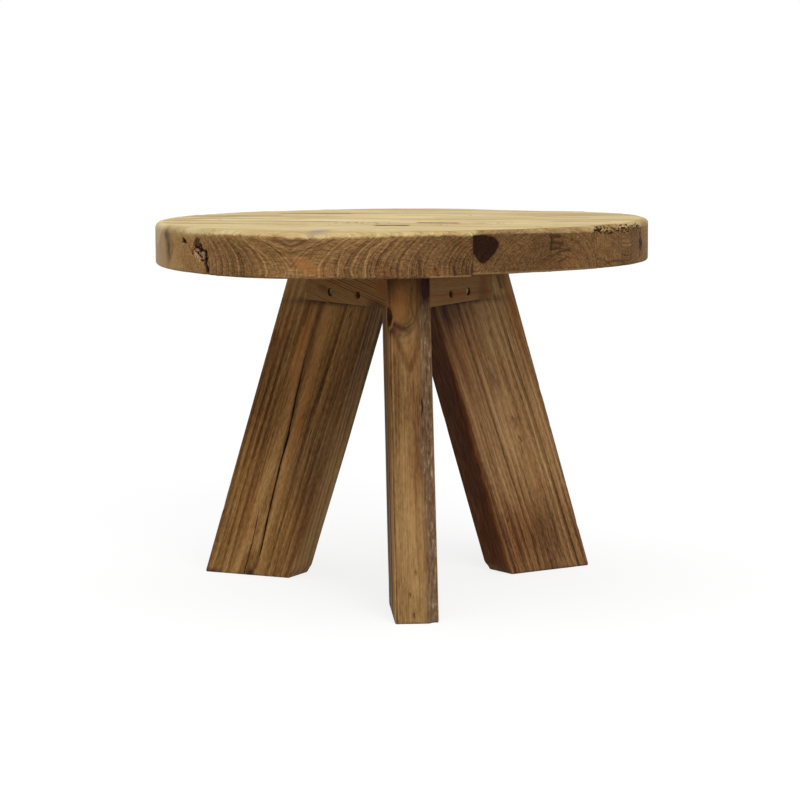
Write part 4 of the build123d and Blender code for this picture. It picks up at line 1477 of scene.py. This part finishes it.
# Daubs: places along the block's grain, out of it and up or down, sizes, strength, colour
BLOCK_LOOKS = {
    "left": dict(BLOCK_LOOK, ring=3.1, lines=0.6, rings=0.75, level=-0.2, streak=0.8, bend=4.0, seed=31, daubs=[
        ((68, 9, -86), (22, 60, 14), 0.9, (255, 166, 70)), ((62, 9, -58), (34, 60, 18), 0.8, (120, 66, 36)),
        # On the next lines, the daub at -55 along the lower edge is painted shadow, and the two daubs 4.3 out, in
        # the screw holes, are painted shade with the holes' darker end grain.
        ((-60, 9, -55), (24, 60, 6), 0.5, (150, 100, 60)), ((11.5, 4.3, -66), (8.5, 4.7, 8.5), 0.92, (70, 46, 28)),
        ((-50, 4.3, -54.6), (8.5, 4.7, 8.5), 0.95, (50, 36, 24))]),
    "right": dict(BLOCK_LOOK, seed=32, rings=0.22, streak=0.8, level=0.12, colours=BLOCK_REDS, daubs=[
        ((-38, 9, -88), (22, 60, 1.6), 0.9, (70, 40, 22)), ((60, 9, -60), (20, 60, 30), 0.45, (150, 100, 62)),
        # The two daubs 4.3 out, in the screw holes, are painted shade with the holes' darker end grain.
        ((24.5, 4.3, -62.8), (8.5, 4.7, 8.5), 0.92, (60, 42, 26)),
        ((-25.5, 4.3, -60.9), (8.5, 4.7, 8.5), 0.95, (40, 28, 18))]),
    "back": dict(BLOCK_LOOK, seed=33),
}
# How much the grain of each block rises along it
BLOCK_FALL = {"left": -0.19, "right": -0.04, "back": 0.03}
TOP_LOOK = dict(
    bend=4.0, ripple=1.0, uneven=1.2, rings=0.12, lines=0.36, sub=0.5, broad=9.0, broad_share=0.16,
    streak=0.25, fibre=0.45, pores=0.3, cloud=0.3, level=0.38, red=0.25, olive=0.3, grit=0.45, end=0.2, stripe=1.35,
    colours=[(0.0, (196, 160, 104)), (0.3, (158, 120, 74)), (0.55, (124, 91, 56)), (0.8, (93, 66, 40)),
             (1.0, (60, 40, 24))],
    sanded_share=0.55, sanded_level=0.06,
    sanded=[(0.0, (236, 216, 164)), (0.3, (219, 196, 144)), (0.55, (194, 166, 114)), (0.8, (158, 125, 80)),
            (1.0, (124, 92, 58))],
)


def leg_material(leg, name, pith, look, tilt):
    """Pith is its place across the leg's width and its thickness, under the leg's head."""
    origin = leg.head + leg.across * pith[0] + leg.side * pith[1]
    grain = leg.down + leg.across * tilt[0] + leg.side * tilt[1]
    return wood(name, origin, grain, leg.across, look)


def plank_material(number, angle, pith, look):
    """Pith is its place across the grain direction and its height."""
    turn = math.radians(angle)
    grain = (math.cos(turn), math.sin(turn), 0.0)
    across = Vector((-math.sin(turn), math.cos(turn), 0.0))
    origin = across * pith[0] + Vector((0, 0, pith[1]))
    return wood(f"plank_{number}_wood", origin, grain, across, look)


# ---------------------------------------------------------------- build
# Each leg's marks, the place of its pith, the tilt of its grain and its look
LEGS = {
    "left": (LEFT, (50.0, -34.0), (0.02, 0.0), dict(LEG_LOOK, seed=3)),
    "right": (RIGHT, (56.0, 12.0), (0.035, 0.0), dict(
        LEG_LOOK, seed=5, ring=5.5, level=0.27, fibre=0.6, red=0.45,
        colours=[(0.0, (182, 146, 102)), (0.3, (154, 117, 76)), (0.55, (122, 88, 55)), (0.8, (86, 57, 34)),
                 (1.0, (54, 34, 18))])),
    "front": (FRONT, (60.0, -2.0), (0.0, 0.0), FRONT_LOOK),
}
for leg_name, (spec, pith, tilt, look) in LEGS.items():
    leg, piece = make_leg(leg_name, spec)
    piece.data.materials.append(leg_material(leg, f"leg_{leg_name}_wood", pith, look, tilt))

# Each plank's pith, across the planks and in height, and what its look has of its own
PLANKS = [
    ((-197.0, 405.0), dict(bend=3.0, ring=3.0, lines=0.22, rings=0.16, sub=0.7, grit=0.7, fibre=0.6)),
    ((-184.0, 393.0), dict(ring=2.7, bend=3.0, red=0.2, olive=0.35, lines=0.2, sub=0.7, grit=0.7, fibre=0.6)),
    ((-180.5, 398.0), dict(ring=3.6, red=0.3, lines=0.2, sub=0.7, grit=0.8)),
    ((-140.0, 330.0), dict(ring=4.0, lines=0.15, cloud=0.6, sub=0.8, grit=0.8)),
    ((-60.0, 480.0), dict(ring=5.0, lines=0.15, olive=0.4, cloud=0.6, sub=0.7, grit=0.7, sanded_level=0.0)),
    ((20.0, 380.0), dict(ring=4.5, sanded_level=0.1)),
    ((90.0, 350.0), dict(ring=4.0, sanded_level=0.04)),
    ((160.0, 480.0), dict(ring=5.0, sanded_level=0.12)),
    ((205.0, 360.0), dict(ring=4.2)),
    ((250.0, 390.0), dict(ring=4.6, sanded_level=0.2)),
]
plank_edges = [-TOP_R] + SEAMS + [TOP_R]
for number, (pith, own_look) in enumerate(PLANKS, 1):
    piece = make_plank(number)
    # Dark daubs round the worm holes are painted shade in them.
    worm_hole_shade = [
        ((t, s - pith[0], TOP_Z - pith[1]), (half_t * 1.5, half_s * 2.1, 8.0), 0.95, (60, 38, 20))
        for t, s, half_t, half_s in TOP_HOLES if plank_edges[number - 1] < s < plank_edges[number]
    ]
    look = dict(TOP_LOOK, seed=10 + number, daubs=worm_hole_shade, **own_look)
    angle = FRONT_PLANK_DEGREES if number == 1 else PLANK_DEGREES
    piece.data.materials.append(plank_material(number, angle, pith, look))


def dress(node, material):
    """A CAD node keeps its shape and takes a material."""
    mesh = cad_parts[node].data
    mesh.materials.clear()
    mesh.materials.append(material)


# Where the origin of a block's wood lies: outwards from the table's middle, and in height
BLOCK_ORIGIN = (72.0, 300.0)
for block, angle in BLOCK_ANGLES.items():
    turn = math.radians(angle + 90.0)
    grain = (math.cos(turn), math.sin(turn), BLOCK_FALL[block])
    out = Vector((math.cos(turn - math.pi / 2), math.sin(turn - math.pi / 2), 0.0))
    origin = out * BLOCK_ORIGIN[0] + Vector((0, 0, BLOCK_ORIGIN[1]))
    dress(f"corner_block_{block}", wood(f"block_{block}_wood", origin, grain, out, BLOCK_LOOKS[block]))


# Screw heads painted dark, as painted shade deep in their holes: place and share
SHADED_HEADS = [((-83.4, -5.3, 362.0), 0.8), ((49.4, -64.3, 362.0), 0.9), ((76.7, -17.0, 362.0), 0.35)]
ZINC_COLOURS = [(0.3, (176, 148, 84)), (0.5, (226, 202, 140)), (0.7, (250, 240, 205))]
ZINC_BUMP = 0.0006


def zinc():
    w = Board("yellow_zinc", (0, 0, 0), (1, 0, 0), (0, 1, 0))
    blotch = w.noise(w.place, (1.5, 1.5, 1.5), 3.0)
    colour = w.ramp(blotch, ZINC_COLOURS)
    # Painted shade darkens the heads that sit in shade.
    for centre, share in SHADED_HEADS:
        away = w.vector("SUBTRACT", w.place, centre)
        near = w.vector("DOT_PRODUCT", away, away).root().smooth(9.0, 13.0, share, 0.0)
        colour = w.mix(near, colour, (74, 54, 30))
    material = w.finish(colour, blotch * 0.3 + 0.18, blotch, ZINC_BUMP)
    shader = next(n for n in w.tree.nodes if n.type == "BSDF_PRINCIPLED")
    shader.inputs["Metallic"].default_value = 1.0
    return material


screw_metal = zinc()
dress("block_screws", screw_metal)
dress("top_screws", screw_metal)


# ---------------------------------------------------------------- stage and light
FLOOR_REACH = 40.0


def add_node(tree, kind, inputs):
    """The first output of a new node. Its inputs take sockets as links, all else as values."""
    node = tree.nodes.new(kind)
    for name, value in inputs.items():
        if isinstance(value, bpy.types.NodeSocket):
            tree.links.new(value, node.inputs[name])
        else:
            node.inputs[name].default_value = value
    return node.outputs[0] if len(node.outputs) else None


def seen_share(tree):
    """1 for camera, glossy and transmission rays, which see the white studio."""
    path = tree.nodes.new("ShaderNodeLightPath")
    share = path.outputs["Is Camera Ray"]
    for ray in ("Is Glossy Ray", "Is Transmission Ray"):
        share = add_node(tree, "ShaderNodeMath", {0: share, 1: path.outputs[ray]})
        share.node.operation = "MAXIMUM"
    return share


def make_floor():
    """A floor that renders white where it is seen, and keeps a soft shadow."""
    mesh = bpy.data.meshes.new("floor")
    corners = [(x * FLOOR_REACH, y * FLOOR_REACH, 0) for x, y in ((-1, -1), (1, -1), (1, 1), (-1, 1))]
    mesh.from_pydata(corners, [], [(0, 1, 2, 3)])
    floor = bpy.data.objects.new("floor", mesh)
    bpy.context.scene.collection.objects.link(floor)
    material = bpy.data.materials.new("floor")
    tree = cleared_tree(material)
    bounce = add_node(tree, "ShaderNodeBsdfDiffuse", {"Color": (0.5, 0.5, 0.5, 1)})
    seen = add_node(tree, "ShaderNodeBsdfDiffuse", {"Color": (0.25, 0.25, 0.25, 1)})
    glow = add_node(tree, "ShaderNodeEmission", {"Strength": 0.80})
    both = add_node(tree, "ShaderNodeAddShader", {0: seen, 1: glow})
    mix = add_node(tree, "ShaderNodeMixShader", {0: seen_share(tree), 1: bounce, 2: both})
    add_node(tree, "ShaderNodeOutputMaterial", {"Surface": mix})
    mesh.materials.append(material)


def make_sun(name, direction, strength, angle):
    """Direction points from the table to the lamp. Strength 1 lights a face that looks
    at the lamp so that its colour renders as written."""
    data = bpy.data.lights.new(name, "SUN")
    data.energy = strength * math.pi
    data.angle = math.radians(angle)
    lamp = bpy.data.objects.new(name, data)
    lamp.rotation_euler = Vector(direction).to_track_quat("Z", "Y").to_euler()
    bpy.context.scene.collection.objects.link(lamp)


def make_world(strength):
    """White where it is seen, and lighting the table with the given strength."""
    world = bpy.data.worlds.new("studio")
    bpy.context.scene.world = world
    tree = cleared_tree(world)
    level = add_node(tree, "ShaderNodeMapRange", {"Value": seen_share(tree), "To Min": strength, "To Max": 1.0})
    back = add_node(tree, "ShaderNodeBackground", {"Color": (1, 1, 1, 1), "Strength": level})
    add_node(tree, "ShaderNodeOutputWorld", {"Surface": back})


make_floor()
make_world(0.336)
make_sun("key", (0.16, -0.85, 0.42), 0.535, 40.0)
make_sun("fill", (0.0, -1.0, 0.02), 0.145, 25.0)
make_sun("overhead", (-0.1, -0.2, 1.0), 0.315, 60.0)
bpy.context.scene.view_settings.view_transform = "Standard"
